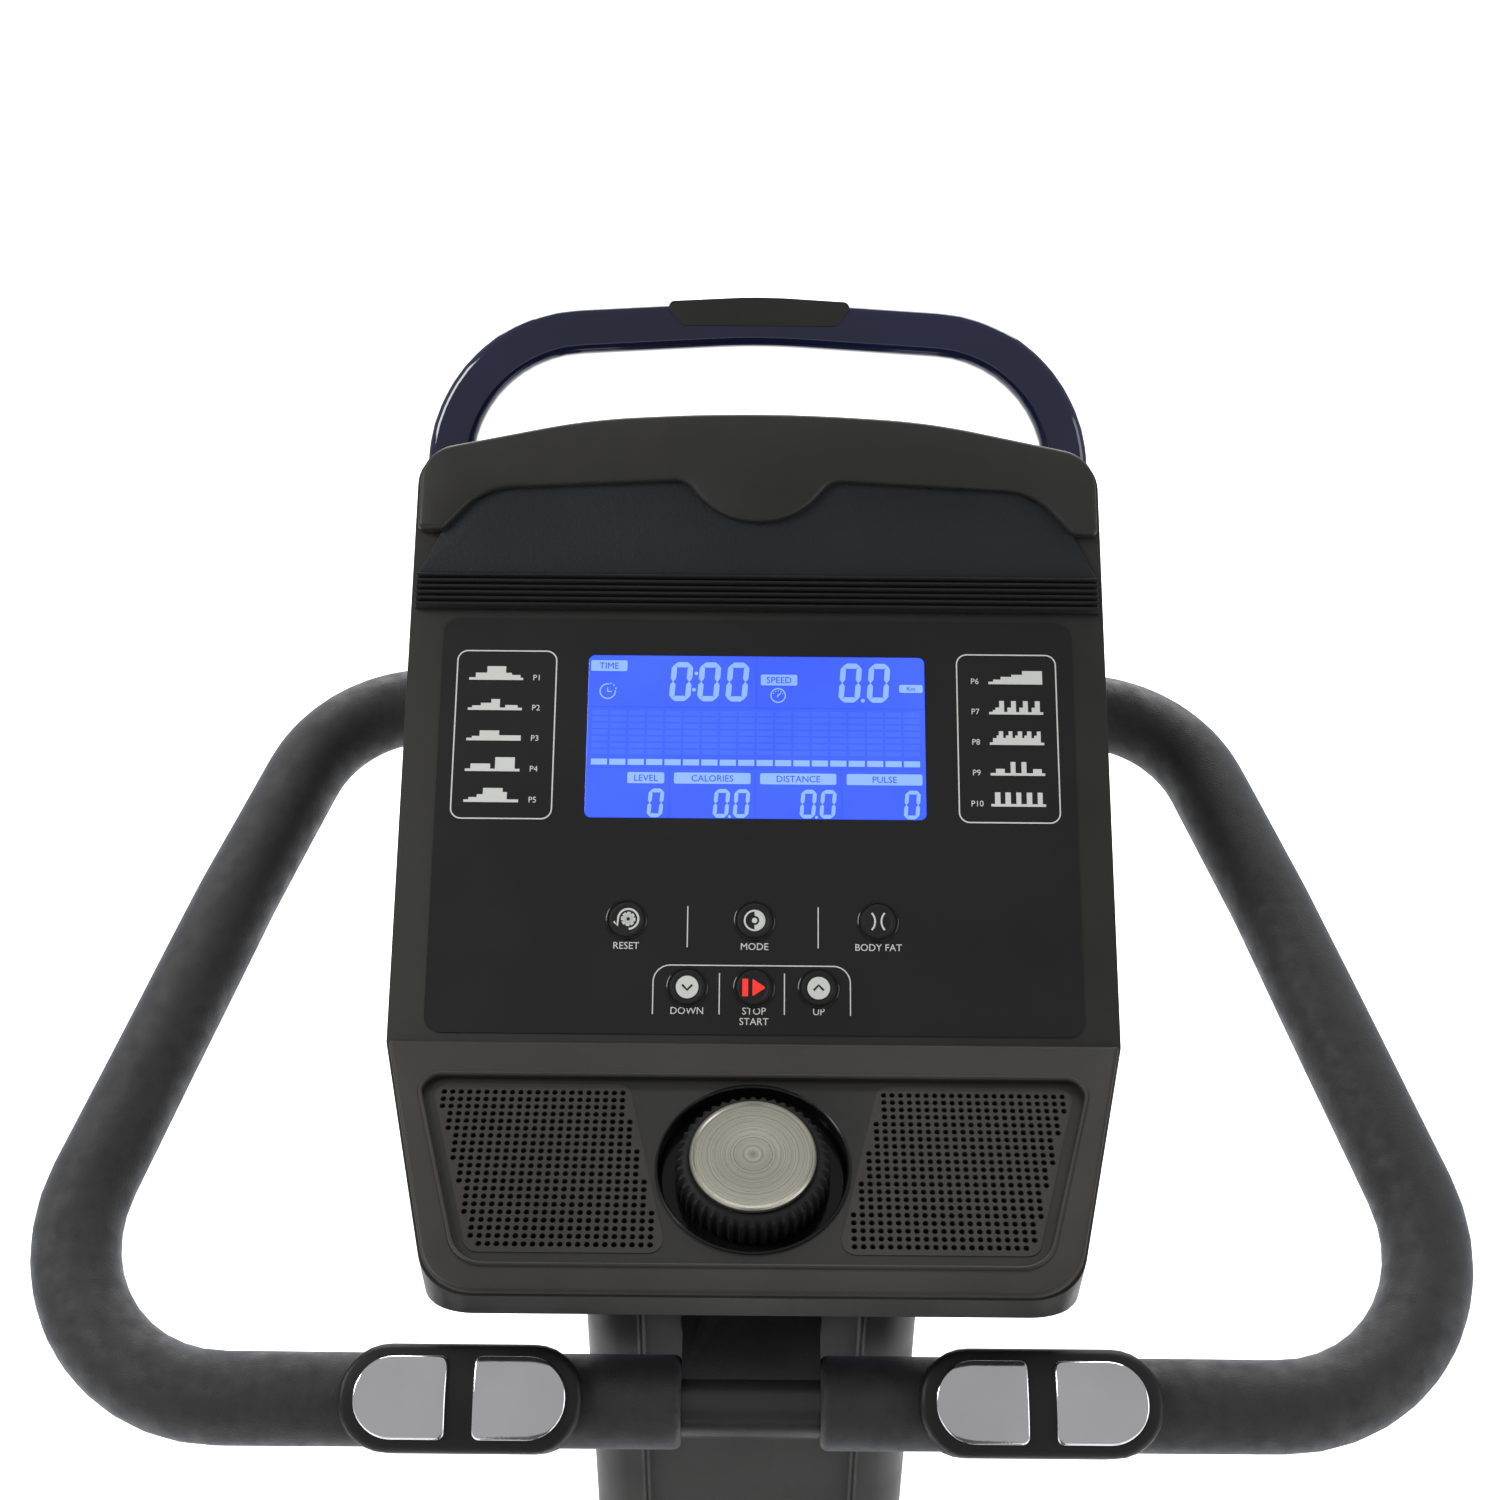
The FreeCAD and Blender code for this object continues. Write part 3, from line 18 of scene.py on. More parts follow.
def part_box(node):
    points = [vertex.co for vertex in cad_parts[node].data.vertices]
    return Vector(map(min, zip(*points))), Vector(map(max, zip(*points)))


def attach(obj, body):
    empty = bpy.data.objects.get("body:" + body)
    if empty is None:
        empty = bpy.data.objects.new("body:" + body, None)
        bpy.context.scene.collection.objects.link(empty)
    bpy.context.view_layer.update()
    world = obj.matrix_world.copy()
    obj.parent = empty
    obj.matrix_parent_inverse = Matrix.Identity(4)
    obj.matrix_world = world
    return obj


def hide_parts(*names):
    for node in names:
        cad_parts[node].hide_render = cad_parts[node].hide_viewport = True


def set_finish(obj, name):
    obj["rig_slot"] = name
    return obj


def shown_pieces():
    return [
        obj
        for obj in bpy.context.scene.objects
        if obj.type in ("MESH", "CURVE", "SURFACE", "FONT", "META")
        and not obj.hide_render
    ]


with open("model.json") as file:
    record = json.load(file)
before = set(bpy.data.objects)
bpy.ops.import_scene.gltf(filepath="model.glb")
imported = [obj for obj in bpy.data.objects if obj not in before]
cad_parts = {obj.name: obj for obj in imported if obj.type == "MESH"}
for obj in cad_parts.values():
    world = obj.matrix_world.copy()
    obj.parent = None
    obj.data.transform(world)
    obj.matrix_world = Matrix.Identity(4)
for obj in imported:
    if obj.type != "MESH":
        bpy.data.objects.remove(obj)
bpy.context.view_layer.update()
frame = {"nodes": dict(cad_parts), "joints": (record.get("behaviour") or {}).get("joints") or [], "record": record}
nodes = frame["nodes"]
joints = {joint["name"]: joint for joint in frame["joints"]}
body_of_node = {node: body for body, members in frame["record"]["behaviour"]["bodies"].items()
                for node in members}
slot_of_node = {row["node"]: row["material_slot"] for row in frame["record"]["subparts"]}

# %% [markdown]
# ## Places to build from
# The console has two flat faces that meet at a fold. A button's travel gives the main face's
# direction, and the knob's axle gives the lower panel's. A place on either face is then written
# as (across, up, out), the way a maker would mark out a panel.

# %% The console's two faces
def axes_from(out):
    """Across is +X, up is out x across, and out points at the rider: the three columns of a turn."""
    out = np.array(out, float) / np.linalg.norm(out)
    across = np.array([1.0, 0.0, 0.0])
    return np.column_stack([across, np.cross(out, across), out])


def spot_of(node):
    """The middle of a CAD part's box."""
    low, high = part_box(node)
    return (np.array(low) + np.array(high)) / 2


class Face:
    """A flat working plane: local (across, up, out) to the frame's own axes, all in metres."""

    def __init__(self, origin, turn):
        self.origin, self.turn = np.array(origin, float), turn

    def at(self, points):
        """origin + turn x point, for a whole array of points."""
        return np.asarray(points, float) @ self.turn.T + self.origin


main_turn = axes_from(-np.array(joints["button_mode_press"]["axis"]))
display_thick = 0.006
main_face = Face(spot_of("lcd_panel") + main_turn[:, 2] * display_thick / 2, main_turn)
panel_turn = axes_from(joints["knob_turn"]["axis"])
knob_face = Face(joints["knob_turn"]["pos_m"], panel_turn)
knob_down = 0.062
panel_face = Face(knob_face.at([0, knob_down, 0]), panel_turn)
print("main face at", main_face.origin.round(4), "lower panel from", panel_face.origin.round(4))

# %% The handlebar's plane
bar_low, bar_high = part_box("handlebar_tube")
bar_radius, foam_radius, bar_rise = 0.0143, 0.019, 0.351
bar_middle = np.array([0.0, bar_low[1] + bar_radius, bar_low[2] + bar_radius])
bar_climb = np.array([0.0, bar_high[1] - bar_low[1] - 2 * bar_radius, bar_high[2] - bar_low[2] - 2 * bar_radius])
bar_out = np.cross([1.0, 0.0, 0.0], bar_climb)
bar_face = Face(bar_middle, axes_from(bar_out))
print("low bar at", bar_middle.round(4))

# %% [markdown]
# ## Making surfaces
# Every new piece is a grid of points worked out at once with numpy. A profile carried along a
# path makes bars and bands, a profile spun about an axis makes knobs, and an outline filled
# between its holes makes plates.

# %% Mesh from arrays
def mesh_object(name, points, faces, smooth=True):
    """A mesh object at the origin from an (n, 3) array and a list of faces."""
    mesh = bpy.data.meshes.new(name)
    mesh.from_pydata(np.asarray(points, float).tolist(), [], [list(map(int, face)) for face in faces])
    mesh.validate()
    mesh.update()
    if smooth:
        mesh.polygons.foreach_set("use_smooth", np.ones(len(mesh.polygons), bool))
    thing = bpy.data.objects.new(name, mesh)
    bpy.context.scene.collection.objects.link(thing)
    return thing


def grid_faces(rows, columns, wrap_rows=False, wrap_columns=True):
    """Quads between neighbouring rows and columns of a grid, closed round where asked."""
    row = np.arange(rows if wrap_rows else rows - 1)
    column = np.arange(columns if wrap_columns else columns - 1)
    r, c = [axis.ravel() for axis in np.meshgrid(row, column, indexing="ij")]
    r2, c2 = (r + 1) % rows, (c + 1) % columns
    return np.column_stack([r * columns + c, r * columns + c2, r2 * columns + c2, r2 * columns + c])


def outward(thing):
    """Turns every face of a closed piece to point out."""
    work = bmesh.new()
    work.from_mesh(thing.data)
    bmesh.ops.recalc_face_normals(work, faces=work.faces)
    work.to_mesh(thing.data)
    work.free()
    return thing


def skin_grid(name, grid, closed_path=False):
    """A closed skin over an (n rings, m points, 3) grid, with flat ends where the path is open."""
    rings, around = grid.shape[:2]
    faces = grid_faces(rings, around, closed_path).tolist()
    if not closed_path:
        faces += [list(range(around))[::-1], list(range((rings - 1) * around, rings * around))]
    return outward(mesh_object(name, grid.reshape(-1, 3), faces))


def rounded(corners, steps=8):
    """An outline through (x, y, radius) corners: each corner is a circle's arc that touches both sides."""
    corners = np.array(corners, float)
    spots, radii = corners[:, :2], corners[:, 2]
    come = spots - np.roll(spots, 1, axis=0)
    come /= np.linalg.norm(come, axis=1)[:, None]
    leave = np.roll(come, -1, axis=0)
    turn = np.arctan2(come[:, 0] * leave[:, 1] - come[:, 1] * leave[:, 0], (come * leave).sum(1))
    reach = radii * np.tan(np.abs(turn) / 2)
    first = spots - come * reach[:, None]
    side = np.sign(turn)[:, None] * np.column_stack([-come[:, 1], come[:, 0]])
    middle = first + side * radii[:, None]
    share = np.linspace(0, 1, steps)
    angle = turn[:, None] * share
    arm = first - middle
    x = arm[:, 0:1] * np.cos(angle) - arm[:, 1:2] * np.sin(angle)
    y = arm[:, 0:1] * np.sin(angle) + arm[:, 1:2] * np.cos(angle)
    points = middle[:, None, :] + np.stack([x, y], axis=2)
    points = points.reshape(-1, 2)
    keep = np.linalg.norm(points - np.roll(points, 1, axis=0), axis=1) > 1e-6
    return points[keep]


def oblong(half_wide, half_tall, radius, across=0.0, up=0.0):
    """A rounded rectangle's outline about a middle point."""
    return rounded([(across - half_wide, up - half_tall, radius), (across + half_wide, up - half_tall, radius),
                    (across + half_wide, up + half_tall, radius), (across - half_wide, up + half_tall, radius)])


def circle(radius, around=32, across=0.0, up=0.0):
    """Points round a circle."""
    turn = np.linspace(0, 2 * np.pi, around, endpoint=False)
    return np.column_stack([across + radius * np.cos(turn), up + radius * np.sin(turn)])


def drawn_in(outline, depth):
    """An outline moved inward: each point goes along the mean of its two sides' inward directions."""
    ahead = np.roll(outline, -1, axis=0) - outline
    behind = outline - np.roll(outline, 1, axis=0)
    normal = []
    for side in (behind, ahead):
        unit = side / np.linalg.norm(side, axis=1)[:, None]
        normal.append(np.column_stack([-unit[:, 1], unit[:, 0]]))
    mean = normal[0] + normal[1]
    mean /= np.maximum((mean * normal[0]).sum(1), 0.25)[:, None]
    area = np.sum(outline[:, 0] * np.roll(outline[:, 1], -1) - outline[:, 1] * np.roll(outline[:, 0], -1))
    return outline + mean * depth * np.sign(area)


def within(spots, loops):
    """True for each point inside an odd number of the loops: a ray along x crosses each loop's edges, and
    an odd count of crossings means inside."""
    starts = np.vstack(loops)
    ends = np.vstack([np.roll(loop, -1, axis=0) for loop in loops])
    inside = np.zeros(len(spots), bool)
    rise = ends[:, 1] - starts[:, 1]
    rise[rise == 0] = 1e-12
    for first in range(0, len(spots), 500):
        x, y = spots[first:first + 500, 0][:, None], spots[first:first + 500, 1][:, None]
        spans = (starts[:, 1] > y) != (ends[:, 1] > y)
        meets = starts[:, 0] + (y - starts[:, 1]) / rise * (ends[:, 0] - starts[:, 0])
        inside[first:first + 500] = (spans & (x < meets)).sum(1) % 2 == 1
    return inside


def plate(name, face, outline, low, high, holes=(), edge=0.0):
    """A flat plate between two heights: its outline, less its holes, filled by a triangulation, with a
    rounded rim of the given edge radius on the outer side."""
    loops = [np.asarray(outline)] + [np.asarray(hole) for hole in holes]
    tops = [drawn_in(loops[0], edge)] + loops[1:] if edge else loops
    flat = np.vstack(tops)
    starts = np.cumsum([0] + [len(loop) for loop in tops])
    rings = [list(range(start, end)) for start, end in zip(starts[:-1], starts[1:])]
    filled = delaunay_2d_cdt([Vector(point) for point in flat], [], rings, 0, 1e-7, True)
    spots = np.array([tuple(spot) for spot in filled[0]])
    corners = np.array([list(triangle) for triangle in filled[2]])
    triangles = corners[within(spots[corners].mean(1), tops)].tolist()
    home = {source: index for index, sources in enumerate(filled[3]) for source in sources}
    count = len(spots)
    points = [np.column_stack([spots, np.full(count, high)]), np.column_stack([spots, np.full(count, low)])]
    faces = triangles + [[index + count for index in triangle[::-1]] for triangle in triangles]
    total = 2 * count
    for number, (loop, ring) in enumerate(zip(loops, rings)):
        upper = [home[index] for index in ring]
        lower = [home[index] + count for index in ring]
        chain = [upper]
        if number == 0 and edge:
            for share in (0.3, 0.62, 1.0):
                sweep = math.sin(share * math.pi / 2)
                drop = 1 - math.cos(share * math.pi / 2)
                shifted = drawn_in(loop, edge * (1 - sweep))
                points.append(np.column_stack([shifted, np.full(len(shifted), high - edge * drop)]))
                chain.append(list(range(total, total + len(shifted))))
                total += len(shifted)
            points.append(np.column_stack([loop, np.full(len(loop), low)]))
            chain.append(list(range(total, total + len(loop))))
            total += len(loop)
        chain.append(lower)
        for here, there in zip(chain[:-1], chain[1:]):
            size = len(here)
            faces += [[here[i], there[i], there[(i + 1) % size], here[(i + 1) % size]] for i in range(size)]
    thing = mesh_object(name, face.at(np.vstack(points)), faces, smooth=False)
    return by_angle(outward(thing))


def by_angle(thing, degrees=38):
    """Smooth shading across gentle edges, sharp across the rest."""
    thing.data.polygons.foreach_set("use_smooth", np.ones(len(thing.data.polygons), bool))
    thing.data.set_sharp_from_angle(angle=math.radians(degrees))
    return thing


def spun(name, face, profile, around=96, ripple=None):
    """A profile of (radius, height) points spun about the face's own out axis. ripple scales each
    radius by a function of the turn, for knurls."""
    profile = np.array(profile, float)
    turn = np.linspace(0, 2 * np.pi, around, endpoint=False)
    radius = np.maximum(profile[:, 0], 1e-5)[:, None] * np.ones(around)
    if ripple is not None:
        radius = radius + ripple(turn)[None, :] * profile[:, 2:3]
    points = np.stack([radius * np.cos(turn), radius * np.sin(turn),
                       profile[:, 1][:, None] * np.ones(around)], axis=2)
    return by_angle(skin_grid(name, face.at(points)), 30)


def tube(name, face, path, profile, closed=False):
    """A profile carried along a flat path. At each point the profile's first axis lies across the
    path within its plane and its second stands out of the plane."""
    path = np.asarray(path, float)
    if closed:
        ahead = np.roll(path, -1, axis=0) - np.roll(path, 1, axis=0)
    else:
        ahead = np.gradient(path, axis=0)
    ahead /= np.linalg.norm(ahead, axis=1)[:, None]
    across = np.column_stack([-ahead[:, 1], ahead[:, 0], np.zeros(len(path))])
    spine = np.column_stack([path, np.zeros(len(path))])
    profile = np.asarray(profile, float)
    if profile.ndim == 2:
        profile = np.repeat(profile[None], len(path), axis=0)
    grid = spine[:, None, :] + profile[:, :, 0:1] * across[:, None, :] + profile[:, :, 1:2] * np.array([0, 0, 1.0])
    return skin_grid(name, face.at(grid), closed)


def open_path(corners, spacing=0.006):
    """Straight runs and tangent arcs through (x, y, radius) corners, as evenly spaced points."""
    corners = np.array(corners, float)
    inner = rounded(np.vstack([corners, [corners[0, 0], corners[0, 1] - 9, 0], ]), steps=12)
    first = int(np.argmin(np.linalg.norm(inner - corners[0, :2], axis=1)))
    last = int(np.argmin(np.linalg.norm(inner - corners[-1, :2], axis=1)))
    inner = np.roll(inner, -first, axis=0)
    last = (last - first) % len(inner)
    line = inner[:last + 1]
    length = np.concatenate([[0], np.cumsum(np.linalg.norm(np.diff(line, axis=0), axis=1))])
    even = np.linspace(0, length[-1], max(3, int(length[-1] / spacing)))
    return np.column_stack([np.interp(even, length, line[:, axis]) for axis in (0, 1)])


# %% [markdown]
# ## Dressing a CAD part
# Moulded and welded parts have no knife edges. A copy of the CAD part is merged, its flat faces are
# joined, and a small bevel rounds every edge, which is what catches the light on the real machine.

# %% A softened copy
made = []


def settle(thing, node, body=None, stands_for=True):
    """Puts a piece on a CAD part's body and slot, standing for that part where asked."""
    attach(thing, body or body_of_node[node])
    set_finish(thing, slot_of_node[node])
    if stands_for:
        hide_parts(node)
    made.append(thing)
    return thing


def softened(node, width=0.0015, segments=3, angle=35):
    """The CAD part's own shape with every sharp edge rounded."""
    mesh = nodes[node].data.copy()
    work = bmesh.new()
    work.from_mesh(mesh)
    bmesh.ops.remove_doubles(work, verts=work.verts, dist=2e-6)
    bmesh.ops.dissolve_limit(work, angle_limit=math.radians(1.5), verts=work.verts, edges=work.edges)
    work.to_mesh(mesh)
    work.free()
    mesh.materials.clear()
    thing = bpy.data.objects.new(node + "_body", mesh)
    bpy.context.scene.collection.objects.link(thing)
    by_angle(thing, 38)
    bevel = thing.modifiers.new("rounded_edges", "BEVEL")
    bevel.width, bevel.segments = width, segments
    bevel.limit_method, bevel.angle_limit = "ANGLE", math.radians(angle)
    bevel.use_clamp_overlap, bevel.harden_normals = True, True
    return settle(thing, node)


# %% [markdown]
# ## The handlebar
# One bent steel tube makes a closed loop. Two long sleeves of closed-cell foam cover it nearly all the
# way round. The sleeve is a circle carried along the loop's middle line, a little uneven as foam is.

# %% Handlebar loop and foam sleeves
bar_half, top_half, leg_half, low_bend, top_bend = 0.3215, 0.212, 0.250, 0.074, 0.065
loop_corners = [(-bar_half, 0, low_bend), (bar_half, 0, low_bend), (leg_half, 0.239, 0.4),
                (top_half, bar_rise, top_bend), (-top_half, bar_rise, top_bend), (-leg_half, 0.239, 0.4)]
loop = rounded(loop_corners, 14)
handlebar = settle(tube("handlebar_loop", bar_face, loop, circle(bar_radius, 32), closed=True), "handlebar_tube")


def foam_sleeve(side):
    """A circle carried from the low bar round to the high bar, its ends rounded over by a quarter circle,
    with a slow wobble of a tenth of a millimetre."""
    path = open_path([(side * 0.029, 0, 0), (side * bar_half, 0, low_bend),
                      (side * leg_half, 0.239, 0.4), (side * top_half, bar_rise, top_bend),
                      (side * 0.1695, bar_rise, 0)], 0.004)
    length = np.concatenate([[0], np.cumsum(np.linalg.norm(np.diff(path, axis=0), axis=1))])
    lip = 0.0035
    near = np.minimum(length, length[-1] - length)
    ends = np.array([0.0, 0.0003, 0.0009, 0.002, lip])
    extra = np.concatenate([ends, length[-1] - ends])
    length_all = np.unique(np.concatenate([length[near > lip], extra]))
    path = np.column_stack([np.interp(length_all, length, path[:, axis]) for axis in (0, 1)])
    near = np.minimum(length_all, length_all[-1] - length_all).clip(0, lip) / lip
    radius = foam_radius - 0.0028 * (1 - np.sqrt(1 - (1 - near) ** 2))
    radius = radius * (1 + 0.004 * np.sin(length_all * 47 + side))
    ring = circle(1.0, 48)
    return tube(f"foam_sleeve_{'right' if side > 0 else 'left'}", bar_face, path,
                ring[None] * radius[:, None, None])


foams = [settle(foam_sleeve(1), "foam_grips"), settle(foam_sleeve(-1), "foam_grips", stands_for=False)]
print("handlebar", len(handlebar.data.polygons), "faces; foam", len(foams[0].data.polygons), "faces a side")

# %% [markdown]
# ## Hand-pulse sensors
# Each sensor is a black box clipped on the low bar, with two polished plates and a strip of the box
# between them. Every piece is a flat outline raised to a gentle arch, z = top - R + sqrt(R^2 - y^2).

# %% Arched pieces
sensor_x, sensor_pitch, sensor_high, sensor_arch = 0.119, math.radians(56), 0.026, 0.060
sensor_axes = np.column_stack([[1, 0, 0], [0, math.cos(sensor_pitch), math.sin(sensor_pitch)],
                               [0, -math.sin(sensor_pitch), math.cos(sensor_pitch)]])
sensor_face = Face(bar_middle, sensor_axes)


def evenly(outline, spacing=0.0012, count=None):
    """The same closed outline with its points spaced evenly along it, by a spacing or a count."""
    closed = np.vstack([outline, outline[:1]])
    along = np.concatenate([[0], np.cumsum(np.linalg.norm(np.diff(closed, axis=0), axis=1))])
    marks = np.linspace(0, along[-1], count or int(along[-1] / spacing), endpoint=False)
    return np.column_stack([np.interp(marks, along, closed[:, axis]) for axis in (0, 1)])


def arched(name, face, outline, low, lift, rim):
    """An outline raised to the arch plus a lift, with a quarter-round rim.
    Inside the rim its rings shrink on its middle. low is the base's height, or None to follow the arch."""
    middle = outline.mean(0)
    rings, heights = [outline, outline], [None, -rim]
    for share in np.linspace(0.2, 1, 6):
        rings.append(drawn_in(outline, rim * (1 - math.cos(share * math.pi / 2))))
        heights.append(-rim + rim * math.sin(share * math.pi / 2))
    for scale in (0.9, 0.7, 0.5, 0.3, 0.12, 0.004):
        rings.append(middle + (rings[7] - middle) * scale)
        heights.append(0.0)
    points = []
    for ring, height in zip(rings, heights):
        top = sensor_high - sensor_arch + np.sqrt(sensor_arch ** 2 - ring[:, 1] ** 2)
        if height is None:
            level = np.full(len(ring), low) if low is not None else top - 0.001
        else:
            level = top + lift + height
        points.append(np.column_stack([ring, level]))
    return by_angle(skin_grid(name, face.at(np.array(points))), 50)


for side, word in ((1, "right"), (-1, "left")):
    case = arched(f"sensor_case_{word}", sensor_face, oblong(0.050, 0.0215, 0.0205, side * sensor_x), -0.004,
                  0.0, 0.0026)
    settle(case, "sensor_housings", stands_for=side > 0)
    for end in (-1, 1):
        near, far = side * sensor_x + end * 0.0055, side * sensor_x + end * 0.0435
        corners = [(near, -0.0165, 0.003), (far, -0.0165, 0.016), (far, 0.0165, 0.016), (near, 0.0165, 0.003)]
        leaf = evenly(rounded(corners if end > 0 else corners[::-1], 10))
        chrome = arched(f"sensor_plate_{word}_{'outer' if end * side > 0 else 'inner'}", sensor_face, leaf, None,
                        0.0015, 0.0009)
        settle(chrome, "sensor_plates", stands_for=side > 0 and end > 0)

# %% [markdown]
# ## The hoop
# A glossy band stands over the console: a rounded rectangle carried along an arch. Its grip pad caps
# the top edge and is a softened copy of its CAD part.

# %% Hoop band and its grip
hoop_lean = math.radians(12.4)
hoop_axes = np.column_stack([[1, 0, 0], [0, math.sin(hoop_lean), math.cos(hoop_lean)],
                             [0, -math.cos(hoop_lean), math.sin(hoop_lean)]])
hoop_face = Face(bar_face.at([0, bar_rise, 0]), hoop_axes)
hoop_half, hoop_rise, hoop_arch, hoop_bend = 0.157, 0.188, 0.009, 0.070
band_half, band_deep = 0.0115, 0.009
hoop_line = open_path([(-hoop_half, 0.012, 0), (-hoop_half, hoop_rise, hoop_bend), (0, hoop_rise + hoop_arch, 0.4),
                       (hoop_half, hoop_rise, hoop_bend), (hoop_half, 0.012, 0)], 0.004)
hoop = tube("hoop_band", hoop_face, hoop_line, oblong(band_half, band_deep, 0.0055))
settle(hoop, "hoop_handle")
for side, word in ((1, "right"), (-1, "left")):
    clamp_turn = np.column_stack([[0, 1, 0], [0, 0, 1], [1, 0, 0]]).astype(float)
    clamp_face = Face(hoop_face.origin + np.array([side * hoop_half, 0, 0]), clamp_turn)
    clamp_out = bar_radius + 0.004
    clamp_in, chamfer = bar_radius + 0.0001, 0.001
    profile = [(clamp_in, -band_half), (clamp_out - chamfer, -band_half), (clamp_out, -band_half + chamfer),
               (clamp_out, band_half - chamfer), (clamp_out - chamfer, band_half), (clamp_in, band_half)]
    clamp = spun(f"hoop_clamp_{word}", clamp_face, profile, 48)
    settle(clamp, "hoop_handle", stands_for=False)
softened("hoop_grip", 0.0011, 3, 30)
print("hoop of", len(hoop.data.polygons), "faces")

# %% [markdown]
# ## The console
# The case is the CAD part with rounded edges. On it lie the pieces that are separate mouldings or
# films on the real one: a raised upper bezel, a textured rest for a tablet, a ribbed rubber strip,
# a printed keypad film, the lit display, and a raised frame round the lower panel.

# %% Console case
softened("console_rear_shell", 0.0045, 4, 25)
softened("console_front_shell", 0.0022, 3, 25)

# %% Upper bezel, tablet rest and ribbed strip
face_top, shoulder = 0.1607, 0.138
bezel_half = [(-0.1592, 0.0985, 0.0025), (-0.1475, 0.0985, 0.004), (-0.1290, 0.1195, 0.030),
              (-0.0345, 0.1245, 0.010), (-0.0175, 0.1035, 0.036)]
bezel_top = [(0.1592, shoulder, 0.018), (0.0805, face_top - 0.0055, 0.3), (0, face_top - 0.0008, 0.8),
             (-0.0805, face_top - 0.0055, 0.3), (-0.1592, shoulder, 0.018)]
bezel_outline = rounded(bezel_half + [(-x, y, bend) for x, y, bend in bezel_half[::-1]] + bezel_top, 10)
bezel = plate("upper_bezel", main_face, bezel_outline, 0.0002, 0.0062, edge=0.0022)
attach(bezel, "frame")
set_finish(bezel, "console_plastic")
rest_half = [(-0.1585, 0.0776, 0.001), (-0.1545, 0.0850, 0.020), (-0.1440, 0.1080, 0.030),
             (-0.1150, 0.1245, 0.020)]
rest_outline = rounded(rest_half[::-1] + [(-x, y, bend) for x, y, bend in rest_half], 8)[::-1]
rest = plate("tablet_rest_plate", main_face, rest_outline, 0.0001, 0.0026, edge=0.0008)
settle(rest, "tablet_rest")


def ribbed_strip(name, half, low, high, base, thick, ribs):
    """A strip across the face whose height is base + thick x |sin(pi x ribs x share)| ^ 0.6 up its width."""
    share = np.linspace(0, 1, ribs * 12 + 1)
    crest = base + thick * (0.35 + 0.65 * np.abs(np.sin(np.pi * ribs * share)) ** 0.6)
    up = low + (high - low) * share
    profile = np.column_stack([up, crest])
    profile = np.vstack([[low, base], profile, [high, base]])
    across = np.array([-half, -half + 0.0006, half - 0.0006, half])
    drop = np.array([0.35, 1, 1, 0.35])
    grid = np.stack([np.broadcast_to(across[:, None], (4, len(profile))),
                     np.broadcast_to(profile[:, 0], (4, len(profile))),
                     base + (profile[:, 1][None, :] - base) * drop[:, None]], axis=2)
    return by_angle(skin_grid(name, main_face.at(grid)), 55)


settle(ribbed_strip("rubber_ribs", 0.1588, 0.0604, 0.0777, 0.0002, 0.0052, 6), "rubber_strip")

# %% Lower panel frame and its bead
recess = rounded([(-0.1185, -0.109, 0.015), (0.1185, -0.109, 0.015), (0.1450, -0.0185, 0.008),
                  (-0.1450, -0.0185, 0.008)], 10)
panel_rim = rounded([(-0.129, -0.1212, 0.024), (0.129, -0.1212, 0.024), (0.1598, -0.0005, 0.001),
                     (-0.1598, -0.0005, 0.001)], 12)
panel_frame = plate("lower_panel_frame", panel_face, panel_rim, 0.0001, 0.0028, holes=[recess[::-1]], edge=0.0016)
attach(panel_frame, "frame")
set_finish(panel_frame, "console_plastic")
bead = tube("lower_panel_bead", Face(panel_face.at([0, 0, 0.0026]), panel_turn), drawn_in(recess, -0.0004),
            circle(0.0011, 10), closed=True)
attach(bead, "frame")
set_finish(bead, "console_plastic")

# %% Speaker grilles
hole_pitch, hole_radius = 0.00365, 0.00128


def grille(side):
    """A slanted plate pierced by a square grid of round holes: every grid point whose hole lies inside
    the slanted outline, less a margin, becomes an octagon hole."""
    outline = rounded([(0.0345, -0.1025, 0.006), (0.1155, -0.1025, 0.006), (0.1385, -0.0215, 0.006),
                       (0.0535, -0.0215, 0.006)], 6)
    rows = np.arange(-0.1010 + hole_pitch * 0.6, -0.0225, hole_pitch)
    columns = np.arange(0.034, 0.140, hole_pitch)
    x, y = [axis.ravel() for axis in np.meshgrid(columns, rows)]
    share = (y + 0.1025) / 0.081
    left, right = 0.0345 + 0.019 * share, 0.1155 + 0.023 * share
    margin = hole_radius + 0.0011
    inside = (x > left + margin) & (x < right - margin)
    corner = (y < -0.0995) | (y > -0.0242)
    inside &= ~(corner & ((x < left + 2.4 * margin) | (x > right - 2.4 * margin)))
    holes = [circle(hole_radius, 8, side * across, up)[::-1] for across, up in zip(x[inside], y[inside])]
    shape = outline if side > 0 else outline[::-1] * [-1, 1]
    return plate(f"speaker_grille_{'right' if side > 0 else 'left'}", panel_face, shape, -0.0018, 0.0003, holes)


for side in (1, -1):
    mesh_plate = settle(grille(side), "speaker_grilles", stands_for=side > 0)
    print(mesh_plate.name, len(mesh_plate.data.polygons), "faces")

# %% Knob and its well
grip_count = 44


def knurl(turn):
    """Shallow flutes: the cosine of the turn times the number of flutes, flattened at its crests."""
    return 0.0007 * np.tanh(2.2 * np.cos(grip_count * turn))


